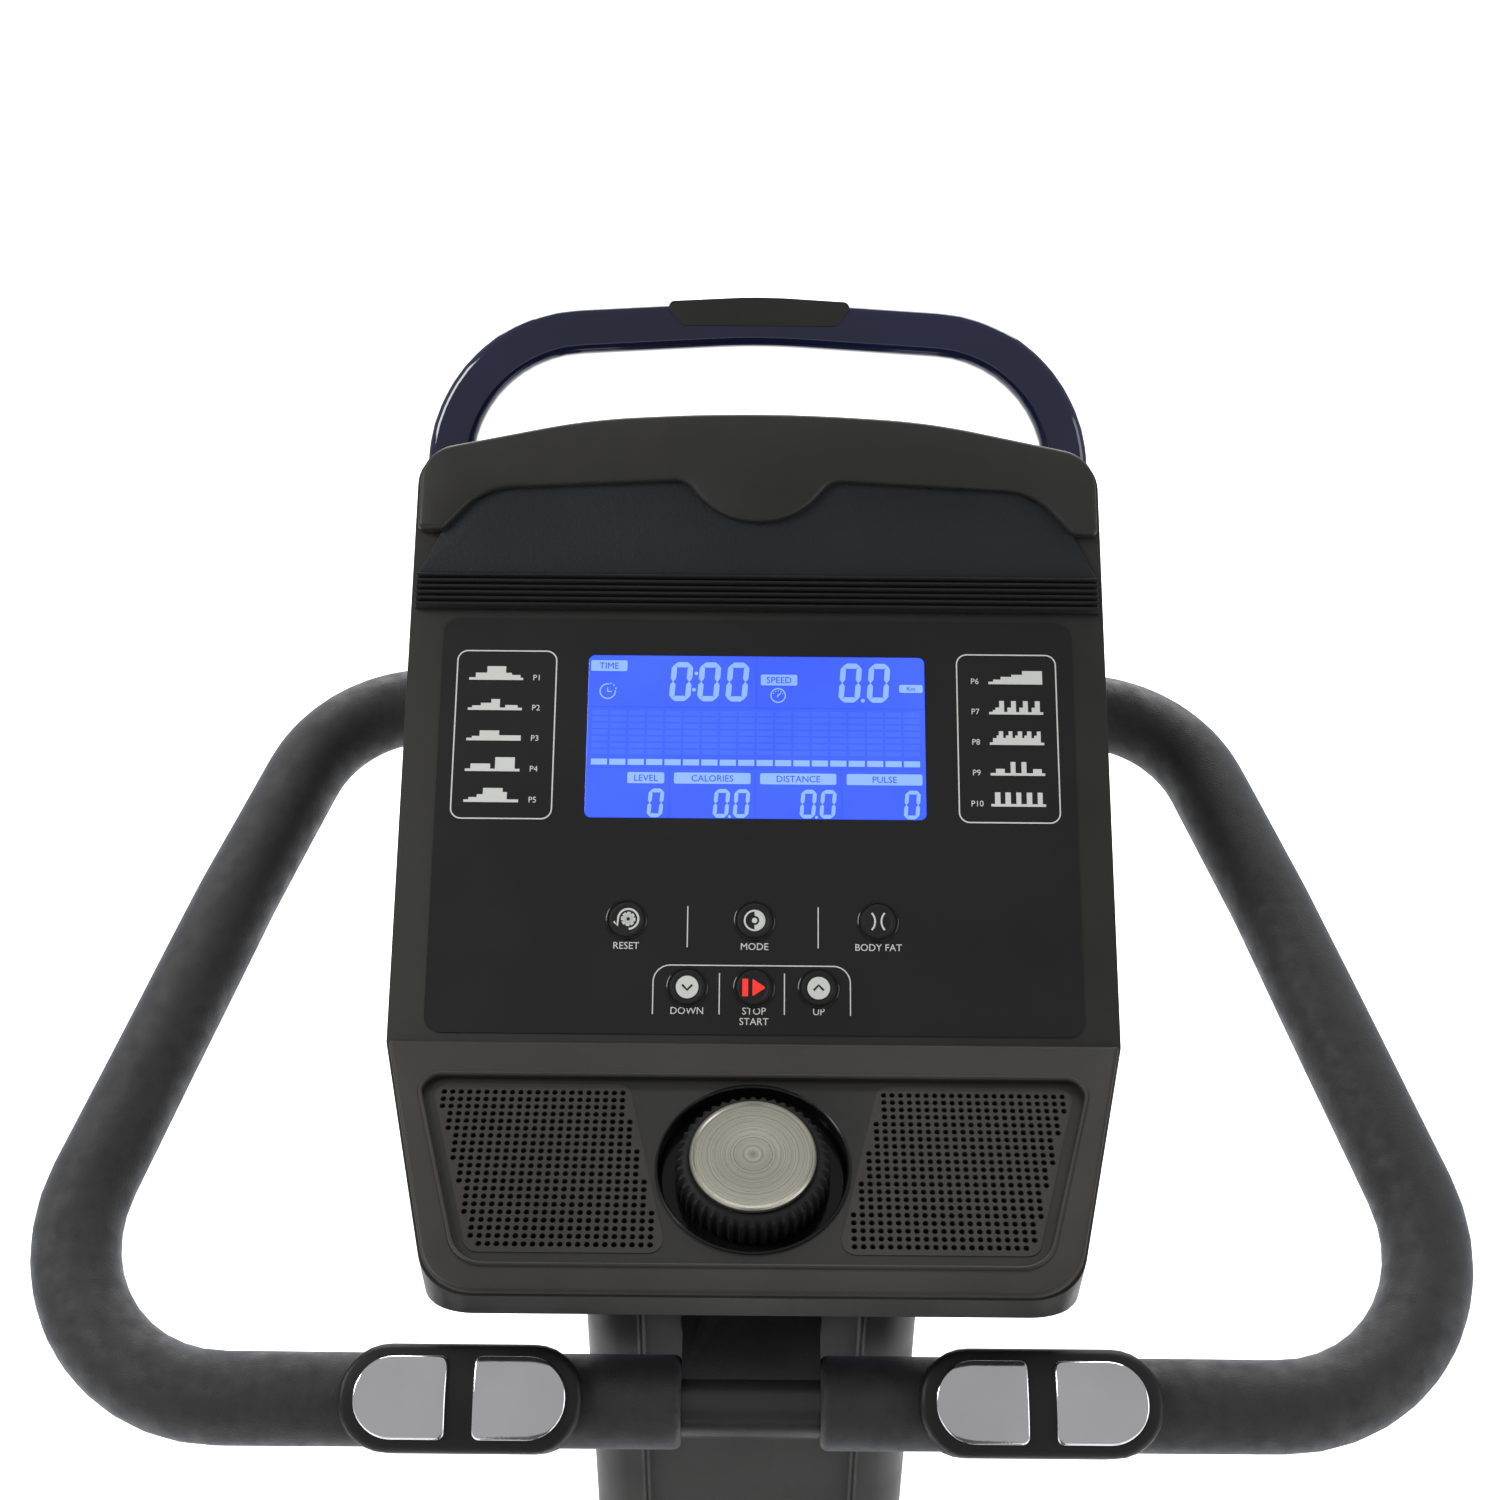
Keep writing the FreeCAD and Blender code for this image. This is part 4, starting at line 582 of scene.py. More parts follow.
well = spun("knob_well", knob_face, [(0, -0.0084), (0.0380, -0.0084), (0.0392, -0.0074), (0.0394, 0.0004),
                                     (0.0400, 0.0010), (0.0408, 0.0007), (0.0408, 0.0001), (0.0399, -0.0002),
                                     (0.0399, -0.0089), (0, -0.0089)], 96)
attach(well, "frame")
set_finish(well, "membrane")
skirt_profile = [(0, -0.0070, 0), (0.0300, -0.0070, 0), (0.0316, -0.0066, 1), (0.0319, -0.0054, 1),
                 (0.0317, 0.0010, 1), (0.0309, 0.0050, 1), (0.0294, 0.0068, 0.5), (0.0278, 0.0075, 0),
                 (0.0268, 0.0073, 0), (0.0266, 0.0068, 0), (0, 0.0068, 0)]
skirt = spun("knob_grip", knob_face, skirt_profile, 352, knurl)
settle(skirt, "knob_skirt")
cap_profile = [(0, 0.0066), (0.0262, 0.0066), (0.0265, 0.0078), (0.0263, 0.0096), (0.0257, 0.0104),
               (0.0249, 0.0103), (0.0244, 0.0097), (0.0236, 0.0096), (0.0120, 0.0100), (0, 0.0102)]
cap = spun("knob_disc", knob_face, cap_profile, 128)
settle(cap, "knob_cap")

# %% Buttons
button_radius = 0.00775
button_nodes = [node for node in nodes if node.startswith("button_")]
button_faces = {}
for node in button_nodes:
    low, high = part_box(node)
    local = (np.array(low) + np.array(high)) / 2 - main_face.origin
    across, up = local @ main_face.turn[:, 0], local @ main_face.turn[:, 1]
    face = Face(main_face.at([across, up, 0]), main_turn)
    button_faces[node] = face
    dome = spun(node + "_dome", face, [(0, -0.0066), (button_radius - 0.0004, -0.0066), (button_radius, -0.0062),
                                       (button_radius, 0.0012), (button_radius - 0.0004, 0.00165),
                                       (button_radius - 0.0011, 0.0018), (0.0063, 0.00178), (0.0059, 0.0016),
                                       (0.0054, 0.00158), (0.003, 0.00165), (0, 0.0017)], 64)
    settle(dome, node)
print(len(button_nodes), "buttons")

# %% [markdown]
# ## Printed marks
# The keypad's print and the display's segments are thin flat shapes. They are gathered in one
# list for each ink, as polygons in the face's own plane, and made one mesh with a hair of thickness.

# %% A printer of flat marks
class Ink:
    """Collects flat polygons on a face and makes one thin piece of them."""

    def __init__(self, name, face, level, thickness=0.00012):
        self.name, self.face, self.level, self.thickness = name, face, level, thickness
        self.points, self.faces, self.count = [], [], 0

    def add(self, points, faces):
        """Adds an (n, 2) array of points and the faces over them."""
        self.points.append(np.asarray(points, float))
        self.faces += [[index + self.count for index in face] for face in faces]
        self.count += len(points)

    def shape(self, outline):
        """A filled outline."""
        self.add(outline, [list(range(len(outline)))])

    def stroke(self, outline, width, closed=True):
        """A line of even width along an outline: points moved half the width to either side."""
        outline = np.asarray(outline, float)
        if closed:
            inner, outer = drawn_in(outline, width / 2), drawn_in(outline, -width / 2)
        else:
            ahead = np.gradient(outline, axis=0)
            ahead /= np.linalg.norm(ahead, axis=1)[:, None]
            side = np.column_stack([-ahead[:, 1], ahead[:, 0]]) * width / 2
            inner, outer = outline + side, outline - side
        size = len(outline)
        steps = range(size if closed else size - 1)
        self.add(np.vstack([inner, outer]), [[i, (i + 1) % size, (i + 1) % size + size, i + size] for i in steps])

    def bar(self, low_x, low_y, high_x, high_y, slant=0.0):
        """A box, its upper edge moved along by slant."""
        self.shape([(low_x, low_y), (high_x, low_y), (high_x + slant, high_y), (low_x + slant, high_y)])

    def word(self, text, x, y, height, align="CENTER"):
        """Plain lettering from the built-in font, taken as a mesh. Capitals are about 0.7 of the size."""
        curve = bpy.data.curves.new("lettering", "FONT")
        curve.body, curve.size, curve.align_x, curve.resolution_u = text, height / 0.7, align, 3
        holder = bpy.data.objects.new("lettering", curve)
        bpy.context.scene.collection.objects.link(holder)
        bpy.context.view_layer.update()
        mesh = bpy.data.meshes.new_from_object(holder.evaluated_get(bpy.context.evaluated_depsgraph_get()))
        spots = np.zeros(len(mesh.vertices) * 3)
        mesh.vertices.foreach_get("co", spots)
        spots = spots.reshape(-1, 3)[:, :2] + [x, y]
        self.add(spots, [list(polygon.vertices) for polygon in mesh.polygons])
        bpy.data.objects.remove(holder)

    def finish(self, body="frame", slot="membrane"):
        """Makes the piece: flat polygons at the level, thickened by a modifier."""
        flat = np.vstack(self.points)
        spots = self.face.at(np.column_stack([flat, np.full(len(flat), self.level)]))
        thing = mesh_object(self.name, spots, self.faces, smooth=False)
        work = bmesh.new()
        work.from_mesh(thing.data)
        out = Vector(self.face.turn[:, 2])
        turned = [polygon for polygon in work.faces if polygon.normal.dot(out) < 0]
        bmesh.ops.reverse_faces(work, faces=turned)
        work.to_mesh(thing.data)
        work.free()
        thick = thing.modifiers.new("ink_depth", "SOLIDIFY")
        thick.thickness, thick.offset = self.thickness, 1.0
        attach(thing, body)
        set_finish(thing, slot)
        return thing


# %% Display: lit screen, digits and captions
screen_half_wide, screen_half_tall = 0.0774, 0.0386
screen = plate("display_screen", main_face, oblong(screen_half_wide, screen_half_tall, 0.003), -0.006, 0.0007,
               edge=0.0003)
settle(screen, "lcd_panel")
pale_ink = Ink("display_segments", main_face, 0.00074)
deep_ink = Ink("display_lettering", main_face, 0.00087)


def zero(ink, x, y, tall, wide):
    """The digit nought in seven-segment bars: its outer box is tall by wide, sheared sideways by lean times
    the height. Each bar is six-sided; the mitred ends leave a hairline between neighbours."""
    bar, lean = tall * 0.135, 0.075
    left, right, foot, head = bar / 2, wide - bar / 2, bar / 2, tall - bar / 2
    middle = tall / 2
    for start, end in (((left, head), (right, head)), ((right, middle), (right, head)),
                       ((right, foot), (right, middle)), ((left, foot), (right, foot)),
                       ((left, foot), (left, middle)), ((left, middle), (left, head))):
        start, end = np.array(start, float), np.array(end, float)
        ahead = (end - start) / np.linalg.norm(end - start)
        side = np.array([-ahead[1], ahead[0]]) * bar / 2
        gap, nose = ahead * bar * 0.1, ahead * bar / 2
        ring = np.array([start + gap - nose * 0.3, start + gap + nose + side, end - gap - nose + side,
                         end - gap + nose * 0.3, end - gap - nose - side, start + gap + nose - side])
        ring[:, 0] += ring[:, 1] * lean
        ink.shape(ring + [x, y])


def pill(text_in, x, y, half_wide, half_tall=0.0026, letter=0.0030):
    """A caption: a pale rounded box with deep blue lettering on it."""
    pale_ink.shape(oblong(half_wide, half_tall, 0.0008, x, y))
    deep_ink.word(text_in, x, y - letter / 2, letter)


big_tall, big_wide, small_tall, small_wide = 0.0188, 0.0099, 0.0134, 0.0071
for x in (-0.0403, -0.0274, -0.0144, 0.0375, 0.0505):
    zero(pale_ink, x, 0.0166, big_tall, big_wide)
for x, y in ((-0.0277, 0.0300), (-0.0287, 0.0221), (0.0489, 0.0175)):
    pale_ink.shape(circle(0.0009, 12, x, y))
for x in (-0.0493, -0.0195, -0.0104, 0.0198, 0.0288, 0.0669):
    zero(pale_ink, x, -0.0383, small_tall, small_wide)
for x in (-0.0117, 0.0276):
    pale_ink.shape(circle(0.0007, 12, x, -0.0377))
for caption, x, y, half in (("TIME", -0.0679, 0.0334, 0.0084), ("SPEED", 0.0104, 0.0271, 0.0084),
                            ("LEVEL", -0.0499, -0.0199, 0.0084), ("CALORIES", -0.0197, -0.0199, 0.0174),
                            ("DISTANCE", 0.0193, -0.0199, 0.0173), ("PULSE", 0.0585, -0.0199, 0.0172)):
    pill(caption, x, y, half)
pill("Km", 0.0710, 0.0234, 0.0054, 0.0019, 0.0020)
clock_turn = np.linspace(1.4, 6.4, 30)
pale_ink.stroke(np.column_stack([-0.0683 + 0.0035 * np.cos(clock_turn), 0.0211 + 0.0035 * np.sin(clock_turn)]),
                0.0006, closed=False)
pale_ink.bar(-0.0686, 0.0207, -0.0681, 0.0230)
pale_ink.bar(-0.0686, 0.0207, -0.0664, 0.0212)
for turn in (0.35, 0.8, 1.2):
    pale_ink.shape(circle(0.0004, 10, -0.0683 + 0.0040 * math.cos(turn), 0.0211 + 0.0040 * math.sin(turn)))
pale_ink.stroke(circle(0.0033, 30, 0.0100, 0.0197), 0.0006)
pale_ink.shape(np.array([(0.0093, 0.0188), (0.0101, 0.0192), (0.0119, 0.0216), (0.0096, 0.0199)]))
for turn in np.linspace(0.4, 2.7, 5):
    pale_ink.shape(circle(0.0003, 8, 0.0100 + 0.0023 * math.cos(turn), 0.0197 + 0.0023 * math.sin(turn)))
for number in range(18):
    left = -0.0751 + number * 0.00838
    pale_ink.bar(left, -0.0139, left + 0.0074, -0.0111)
pale_ink.finish(slot="display")
deep_ink.finish(slot="display")
faint_ink = Ink("display_matrix", main_face, 0.00072)
for column in range(18):
    for row in range(7):
        left, low = -0.0751 + column * 0.00838, -0.0090 + row * 0.0031
        faint_ink.bar(left, low, left + 0.0074, low + 0.0024)
faint_ink.finish(slot="display")
rule_ink = Ink("display_rules", main_face, 0.00073)
for low_x, low_y, high_x, high_y in ((-0.0772, 0.0136, 0.0772, 0.0139), (-0.0001, 0.0136, 0.0002, 0.0385),
                                     (-0.0772, -0.0153, 0.0772, -0.0150), (-0.0393, -0.0385, -0.0390, -0.0150),
                                     (-0.0004, -0.0385, -0.0001, -0.0150), (0.0389, -0.0385, 0.0392, -0.0150)):
    rule_ink.bar(low_x, low_y, high_x, high_y)
rule_ink.finish(slot="display")

# %% Keypad print
print_ink = Ink("keypad_print", main_face, 0.00081)
for side in (-1, 1):
    print_ink.stroke(oblong(0.0228, 0.0398, 0.0047, side * 0.1150, 0.0003), 0.0006)
# each programme's silhouette: (start along the width, height) of its steps, both as shares
SHAPES = [[(0, 18), (12, 52), (33, 100), (68, 52), (79, 37), (95, 18)],
          [(0, 18), (8, 33), (24, 52), (43, 80), (59, 18), (69, 37), (92, 18)],
          [(0, 18), (10, 32), (24, 72), (60, 38)],
          [(0, 18), (10, 54), (46, 18), (55, 100), (91, 18)],
          [(0, 18), (9, 35), (24, 55), (35, 100), (71, 72), (79, 20)],
          [(0, 18), (9, 34), (23, 54), (43, 70), (63, 98)],
          [(0, 18), (7, 32), (12, 50), (19, 98), (28, 18), (34, 50), (41, 98), (50, 18), (56, 50), (63, 98), (72, 18),
           (79, 50), (85, 98), (94, 18)],
          [(0, 18), (6, 48), (13, 68), (17, 98), (25, 50), (30, 68), (35, 98), (42, 50), (47, 68), (52, 98), (60, 50),
           (64, 68), (69, 98), (77, 50), (82, 68), (87, 98), (94, 18)],
          [(0, 18), (10, 48), (26, 18), (37, 98), (46, 18), (57, 98), (66, 18), (78, 48), (94, 18)],
          [(0, 18), (7, 100), (17, 18), (26, 100), (36, 18), (46, 100), (55, 18), (65, 100), (75, 18), (85, 100),
           (94, 18)]]
icon_wide, icon_tall, icon_pitch = 0.0248, 0.0066, 0.01449
for number, steps in enumerate(SHAPES):
    base_x = -0.1322 if number < 5 else 0.1067
    base_y = 0.0260 - icon_pitch * (number % 5)
    ends = [start for start, _ in steps[1:]] + [100]
    for (start, height), end in zip(steps, ends):
        print_ink.bar(base_x + icon_wide * start / 100, base_y, base_x + icon_wide * end / 100,
                      base_y + icon_tall * height / 100)
    print_ink.word(f"P{number + 1}", -0.1010 if number < 5 else 0.1004, base_y, 0.0027)
button_words = {"reset": ["RESET"], "mode": ["MODE"], "body_fat": ["BODY FAT"], "down": ["DOWN"],
                "start_stop": ["STOP", "START"], "up": ["UP"]}
for node, face in button_faces.items():
    local = face.origin - main_face.origin
    across, up = local @ main_turn[:, 0], local @ main_turn[:, 1]
    first_line = 0.0131 if up > -0.1 else 0.0118
    for line, word in enumerate(button_words[node.replace("button_", "")]):
        print_ink.word(word, across, up - first_line - 0.0046 * line, 0.0031)
for x in (-0.0298, 0.0283):
    print_ink.bar(x - 0.00025, -0.0975, x + 0.00025, -0.0790)
for x in (-0.0153, 0.0134):
    print_ink.bar(x - 0.00025, -0.1272, x + 0.00025, -0.1089)
bracket = open_path([(-0.0446, -0.1273, 0), (-0.0446, -0.1055, 0.0075), (0.0425, -0.1055, 0.0075),
                     (0.0425, -0.1273, 0)], 0.001)
print_ink.stroke(bracket, 0.0005, closed=False)
print_ink.finish(slot="button_plastic")

# %% Icons on the buttons
icon_level = 0.00172
for node, face in button_faces.items():
    kind = node.replace("button_", "")
    ink = Ink(node + "_icon", face, icon_level, 0.0001)
    if kind == "reset":
        sweep_turn = np.linspace(-1.5, 3.0, 30)
        hook = np.column_stack([np.cos(sweep_turn), np.sin(sweep_turn)]) * 0.0045 + [0.0008, 0.0002]
        tail = np.array([[-0.0040, -0.0028], [-0.0056, -0.0010]])
        ink.stroke(np.vstack([hook, tail]), 0.0009, closed=False)
        teeth = np.linspace(0, 2 * np.pi, 32, endpoint=False)
        reach = 0.0020 + 0.0006 * np.sign(np.cos(8 * teeth + 0.4))
        ink.stroke(np.column_stack([reach * np.cos(teeth) + 0.0008, reach * np.sin(teeth) + 0.0002]), 0.0012)
    elif kind == "mode":
        ink.stroke(circle(0.0044, 40), 0.0008)
        half = np.linspace(-math.pi / 2, math.pi / 2, 18)
        outer = np.column_stack([np.cos(half), np.sin(half)])
        ink.add(np.vstack([outer * 0.0042, outer * 0.0021]), [[i, i + 1, i + 19, i + 18] for i in range(17)])
        ink.shape(circle(0.0012, 16))
    elif kind == "body_fat":
        bow = np.linspace(-0.75, 0.75, 14)
        for way in (-1, 1):
            ink.stroke(np.column_stack([way * (0.0070 - 0.0056 * np.cos(bow)), 0.0056 * np.sin(bow)]), 0.0008,
                       closed=False)
    elif kind == "start_stop":
        ink.shape(rounded([(-0.0052, -0.0039, 0.0003), (-0.0026, -0.0039, 0.0003), (-0.0026, 0.0039, 0.0003),
                           (-0.0052, 0.0039, 0.0003)], 4))
        ink.shape(rounded([(-0.0007, -0.0039, 0.0003), (0.0052, 0.0, 0.0005), (-0.0007, 0.0039, 0.0003)], 5))
    else:
        ink.shape(circle(0.0050, 48))
        flip = 1 if kind == "up" else -1
        chevron = Ink(node + "_chevron", face, icon_level + 0.00013, 0.0001)
        chevron.stroke(np.array([(-0.0022, -0.0010), (0, 0.0013), (0.0022, -0.0010)]) * [1, flip], 0.0009,
                       closed=False)
        chevron.finish(body_of_node[node], "button_plastic")
    ink.finish(body_of_node[node], "button_plastic")
    rim_face = Face(main_face.at([*((face.origin - main_face.origin) @ main_turn[:, :2]), 0.0008]), main_turn)
    rim = spun(node + "_ring", rim_face, [(0.00812, 0), (0.0093, 0), (0.0092, 0.0004), (0.0088, 0.0006),
                                         (0.0083, 0.0005), (0.00812, 0.0002)], 64)
    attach(rim, "frame")
    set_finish(rim, "membrane")
print("keypad and display printed")

# %% [markdown]
# ## Finishes
# Each finish is a node material. Its grain is read from object coordinates, so it stays on the part
# when the part moves. Broad noise shifts colour and roughness a little, as handling and moulding do;
# fine noise or cells give the bump. Numbers that are the same all over go straight on the shader.

# %% Material helpers
def paint(rgb):
    """A colour as the eye reads it, from 0 to 255, taken to the shader's linear scale."""
    share = np.array(rgb, float) / 255
    return (*np.where(share <= 0.04045, share / 12.92, ((share + 0.055) / 1.055) ** 2.4), 1.0)


class Finish:
    """A Principled material with helpers to add noise, ramps and bump."""

    def __init__(self, name, colour, roughness, metallic=0.0, **sockets):
        self.material = bpy.data.materials.new(name)
        self.material.use_nodes = True
        self.tree = self.material.node_tree
        self.shader = self.tree.nodes["Principled BSDF"]
        self.shader.inputs["Base Color"].default_value = paint(colour)
        self.shader.inputs["Roughness"].default_value = roughness
        self.shader.inputs["Metallic"].default_value = metallic
        for socket, value in sockets.items():
            self.shader.inputs[socket.replace("_", " ")].default_value = value
        self.colour = paint(colour)
        self.place = self.tree.nodes.new("ShaderNodeTexCoord").outputs["Object"]

    def node(self, kind, **inputs):
        """A node with its inputs set or linked."""
        made_node = self.tree.nodes.new("ShaderNode" + kind)
        for socket, value in inputs.items():
            target = made_node.inputs[socket.replace("_", " ")]
            if isinstance(value, bpy.types.NodeSocket):
                self.tree.links.new(value, target)
            else:
                target.default_value = value
        return made_node

    def noise(self, scale, detail=3.0, rough=0.5, place=None):
        """Noise over the part; scale is in features per metre."""
        return self.node("TexNoise", Vector=place or self.place, Scale=scale, Detail=detail,
                         Roughness=rough).outputs["Fac"]

    def cells(self, scale, feature="F1", place=None):
        """Voronoi cells, for pebbled and granular grains."""
        made_node = self.node("TexVoronoi", Vector=place or self.place, Scale=scale)
        made_node.feature = feature
        return made_node.outputs["Distance"]

    def spread(self, value, low, high, out_low, out_high):
        """A straight map of one range of values on another, held at its ends."""
        made_node = self.node("MapRange", Value=value)
        for socket, number in zip(("From Min", "From Max", "To Min", "To Max"), (low, high, out_low, out_high)):
            made_node.inputs[socket].default_value = number
        return made_node.outputs["Result"]

    def vary_colour(self, value, dark, light):
        """The base colour runs between two colours as a value goes from 0.3 to 0.7."""
        ramp = self.tree.nodes.new("ShaderNodeValToRGB")
        ramp.color_ramp.elements[0].position, ramp.color_ramp.elements[1].position = 0.3, 0.7
        ramp.color_ramp.elements[0].color, ramp.color_ramp.elements[1].color = paint(dark), paint(light)
        self.tree.links.new(value, ramp.inputs["Fac"])
        self.tree.links.new(ramp.outputs["Color"], self.shader.inputs["Base Color"])
        return self

    def vary_roughness(self, value, low, high):
        """The roughness runs between two levels as a value goes from 0.3 to 0.7."""
        self.tree.links.new(self.spread(value, 0.3, 0.7, low, high), self.shader.inputs["Roughness"])
        return self

    def bump(self, value, depth, strength=1.0):
        """A height in metres pushes the shading; bumps given one after another add up."""
        bump = self.node("Bump", Height=value, Distance=depth, Strength=strength)
        before = self.shader.inputs["Normal"].links
        if before:
            self.tree.links.new(before[0].from_socket, bump.inputs["Normal"])
        self.tree.links.new(bump.outputs["Normal"], self.shader.inputs["Normal"])
        return self


def moulded(name, dark, light, rough_low, rough_high, grain=2600, depth=0.00006):
    """Moulded plastic: spark-eroded grain from fine cells, and a slow drift of tone and shine."""
    finish = Finish(name, dark, rough_low)
    finish.shader.inputs["Specular IOR Level"].default_value = 0.28
    finish.vary_colour(finish.noise(9, 4), dark, light)
    finish.vary_roughness(finish.noise(26, 5), rough_low, rough_high)
    finish.bump(finish.noise(grain, 2, 0.6), depth)
    return finish.material


def painted(name, dark, light, rough):
    """Powder coat: orange-peel from soft noise, under a thin clear shine."""
    finish = Finish(name, dark, rough)
    finish.shader.inputs["Coat Weight"].default_value = 0.25
    finish.shader.inputs["Coat Roughness"].default_value = 0.22
    finish.vary_colour(finish.noise(7, 3), dark, light)
    finish.vary_roughness(finish.noise(40, 4), rough - 0.06, rough + 0.08)
    finish.bump(finish.noise(900, 2, 0.4), 0.00008)
    return finish.material


def foam(name, dark, light):
    """Closed-cell foam: tiny pores, a mottled sheen and slow handling marks."""
    finish = Finish(name, dark, 0.62)
    finish.shader.inputs["Sheen Weight"].default_value = 0.35
    finish.shader.inputs["Sheen Roughness"].default_value = 0.45
    finish.shader.inputs["Sheen Tint"].default_value = paint((150, 160, 180))
    finish.vary_colour(finish.noise(60, 6, 0.62), dark, light)
    finish.vary_roughness(finish.noise(130, 5), 0.50, 0.74)
    finish.bump(finish.cells(1500), 0.00012)
    finish.bump(finish.noise(3600, 3, 0.7), 0.00009)
    return finish.material


def vinyl(name, dark, light):
    """Upholstery vinyl: pebbled grain from cells, creased by fine noise, soft shine. A warped copy of the coordinates
    is built but feeds nothing.
    """
    finish = Finish(name, dark, 0.46)
    finish.vary_colour(finish.noise(14, 5), dark, light)
    finish.vary_roughness(finish.noise(55, 4), 0.38, 0.56)
    warp = finish.node("VectorMath", Vector=finish.place)
    warp.operation = "ADD"
    shift = finish.node("TexNoise", Vector=finish.place, Scale=240.0)
    finish.tree.links.new(shift.outputs["Color"], warp.inputs[1])
    finish.bump(finish.cells(620, "DISTANCE_TO_EDGE"), 0.0003, 0.8)
    finish.bump(finish.noise(1400, 3), 0.00008)
    return finish.material


def metal(name, dark, light, rough_low, rough_high, stretch=(1, 1, 1), lines=900.0, depth=0.00001):
    """Metal with a brushed grain: noise squeezed along one direction varies shine and height."""
    finish = Finish(name, dark, rough_low, 1.0)
    mapping = finish.node("Mapping", Vector=finish.place)
    mapping.inputs["Scale"].default_value = stretch
    brushed = finish.noise(lines, 4, 0.6, mapping.outputs["Vector"])
    finish.vary_colour(finish.noise(18, 3), dark, light)
    finish.vary_roughness(brushed, rough_low, rough_high)
    finish.bump(brushed, depth)
    return finish.material


def spun_disc(name, face, dark, light):
    """A turned metal disc: rings whose height depends only on the distance from the knob's axle."""
    finish = Finish(name, dark, 0.3, 1.0)
    shift = finish.node("VectorMath", Vector=finish.place)
    shift.operation = "SUBTRACT"
    shift.inputs[1].default_value = tuple(face.origin)
    reach = finish.node("VectorMath", Vector=shift.outputs["Vector"])
    reach.operation = "LENGTH"
    rings = finish.node("TexNoise", Scale=2600.0, Detail=3.0)
    rings.noise_dimensions = "1D"
    finish.tree.links.new(reach.outputs["Value"], rings.inputs["W"])
    finish.vary_colour(rings.outputs["Fac"], dark, light)
    finish.vary_roughness(rings.outputs["Fac"], 0.24, 0.40)
    finish.bump(rings.outputs["Fac"], 0.00002)
    return finish.material


def lit(name, low, high, strength):
    """A lit screen: blue that is a little uneven, as a backlight is, glowing under a clear film. It also gives the
    red print on the start button its painted glow.
    """
    finish = Finish(name, low, 0.22)
    finish.shader.inputs["Coat Weight"].default_value = 0.6
    finish.shader.inputs["Coat Roughness"].default_value = 0.08
    finish.shader.inputs["Emission Strength"].default_value = strength
    finish.vary_colour(finish.noise(22, 2), low, high)
    ramp = finish.shader.inputs["Base Color"].links[0].from_socket
    finish.tree.links.new(ramp, finish.shader.inputs["Emission Color"])
    return finish.material


# %% The finishes
shell_plastic = moulded("warm_charcoal_plastic", (31, 31, 29), (40, 39, 36), 0.42, 0.56)
# The lower panel's plastic is a lighter copy of the console plastic. The extra lightness is painted light from above
# on the upward-facing lower panel frame, its bead and the speaker grilles.
panel_plastic_painted_light = moulded("umber_grey_plastic", (44, 41, 38), (52, 49, 45), 0.38, 0.52)
# The rear shell's plastic is a bluish, slightly lighter copy of the console plastic. Its blue tint is a painted
# reflection of cool light on the console's sides.
case_back_painted_reflection = moulded("cool_charcoal_plastic", (30, 32, 36), (42, 44, 50), 0.34, 0.5)
film = moulded("keypad_film", (22, 22, 22), (27, 27, 27), 0.30, 0.40, 1800, 0.00004)
slate = moulded("slate_rest", (16, 21, 25), (25, 31, 35), 0.55, 0.7, 700, 0.0003)
black_rubber = moulded("black_rubber", (13, 13, 13), (20, 20, 20), 0.62, 0.8, 1500, 0.00012)
black_plastic = moulded("black_plastic", (17, 17, 18), (27, 27, 28), 0.36, 0.52)
gloss_black = moulded("gloss_black", (14, 14, 15), (20, 20, 21), 0.10, 0.18, 400, 0.00001)
cover_grey = moulded("cover_plastic", (42, 43, 46), (52, 53, 56), 0.40, 0.55, 1900, 0.0001)
mast_grey = moulded("mast_plastic", (34, 33, 32), (44, 43, 41), 0.40, 0.55, 2200, 0.00008)
frame_paint = painted("black_powder_coat", (22, 22, 24), (30, 30, 32), 0.36)
foam_black = foam("black_foam", (19, 18, 17), (31, 29, 27))
seat_vinyl = vinyl("black_vinyl", (24, 24, 26), (36, 36, 38))
chrome = metal("polished_chrome", (214, 214, 218), (230, 230, 234), 0.05, 0.10)
machined = metal("machined_steel", (150, 150, 154), (186, 186, 190), 0.22, 0.38, (1, 1, 6))
anodised = metal("anodised_rail", (176, 178, 184), (200, 202, 206), 0.26, 0.40, (1, 0.02, 1), 1400.0)
champagne = spun_disc("champagne_disc", knob_face, (168, 165, 152), (180, 177, 165))
navy = Finish("navy_gloss", (8, 14, 44), 0.08, Coat_Weight=0.35, Coat_Roughness=0.03)
navy.vary_colour(navy.noise(10, 3), (6, 12, 40), (10, 18, 52))
navy.bump(navy.noise(160, 2), 0.00003)
screen_blue = lit("lit_blue_screen", (44, 78, 226), (52, 88, 236), 0.50)
segment_light = lit("lit_segments", (120, 156, 232), (130, 164, 236), 0.5)
matrix_blue = lit("unlit_matrix", (48, 84, 230), (58, 95, 239), 0.54)
letter_blue = lit("deep_blue_ink", (44, 74, 190), (52, 82, 200), 0.5)
print_grey = moulded("print_ink", (190, 192, 186), (204, 206, 200), 0.5, 0.6, 900, 0.00001)
# The start button's red print glows. This is painted light, since the print is no lamp.
print_red_painted_glow = lit("red_ink", (225, 38, 28), (235, 46, 34), 0.35)
board_green = moulded("board_green", (24, 84, 44), (34, 100, 54), 0.4, 0.5)

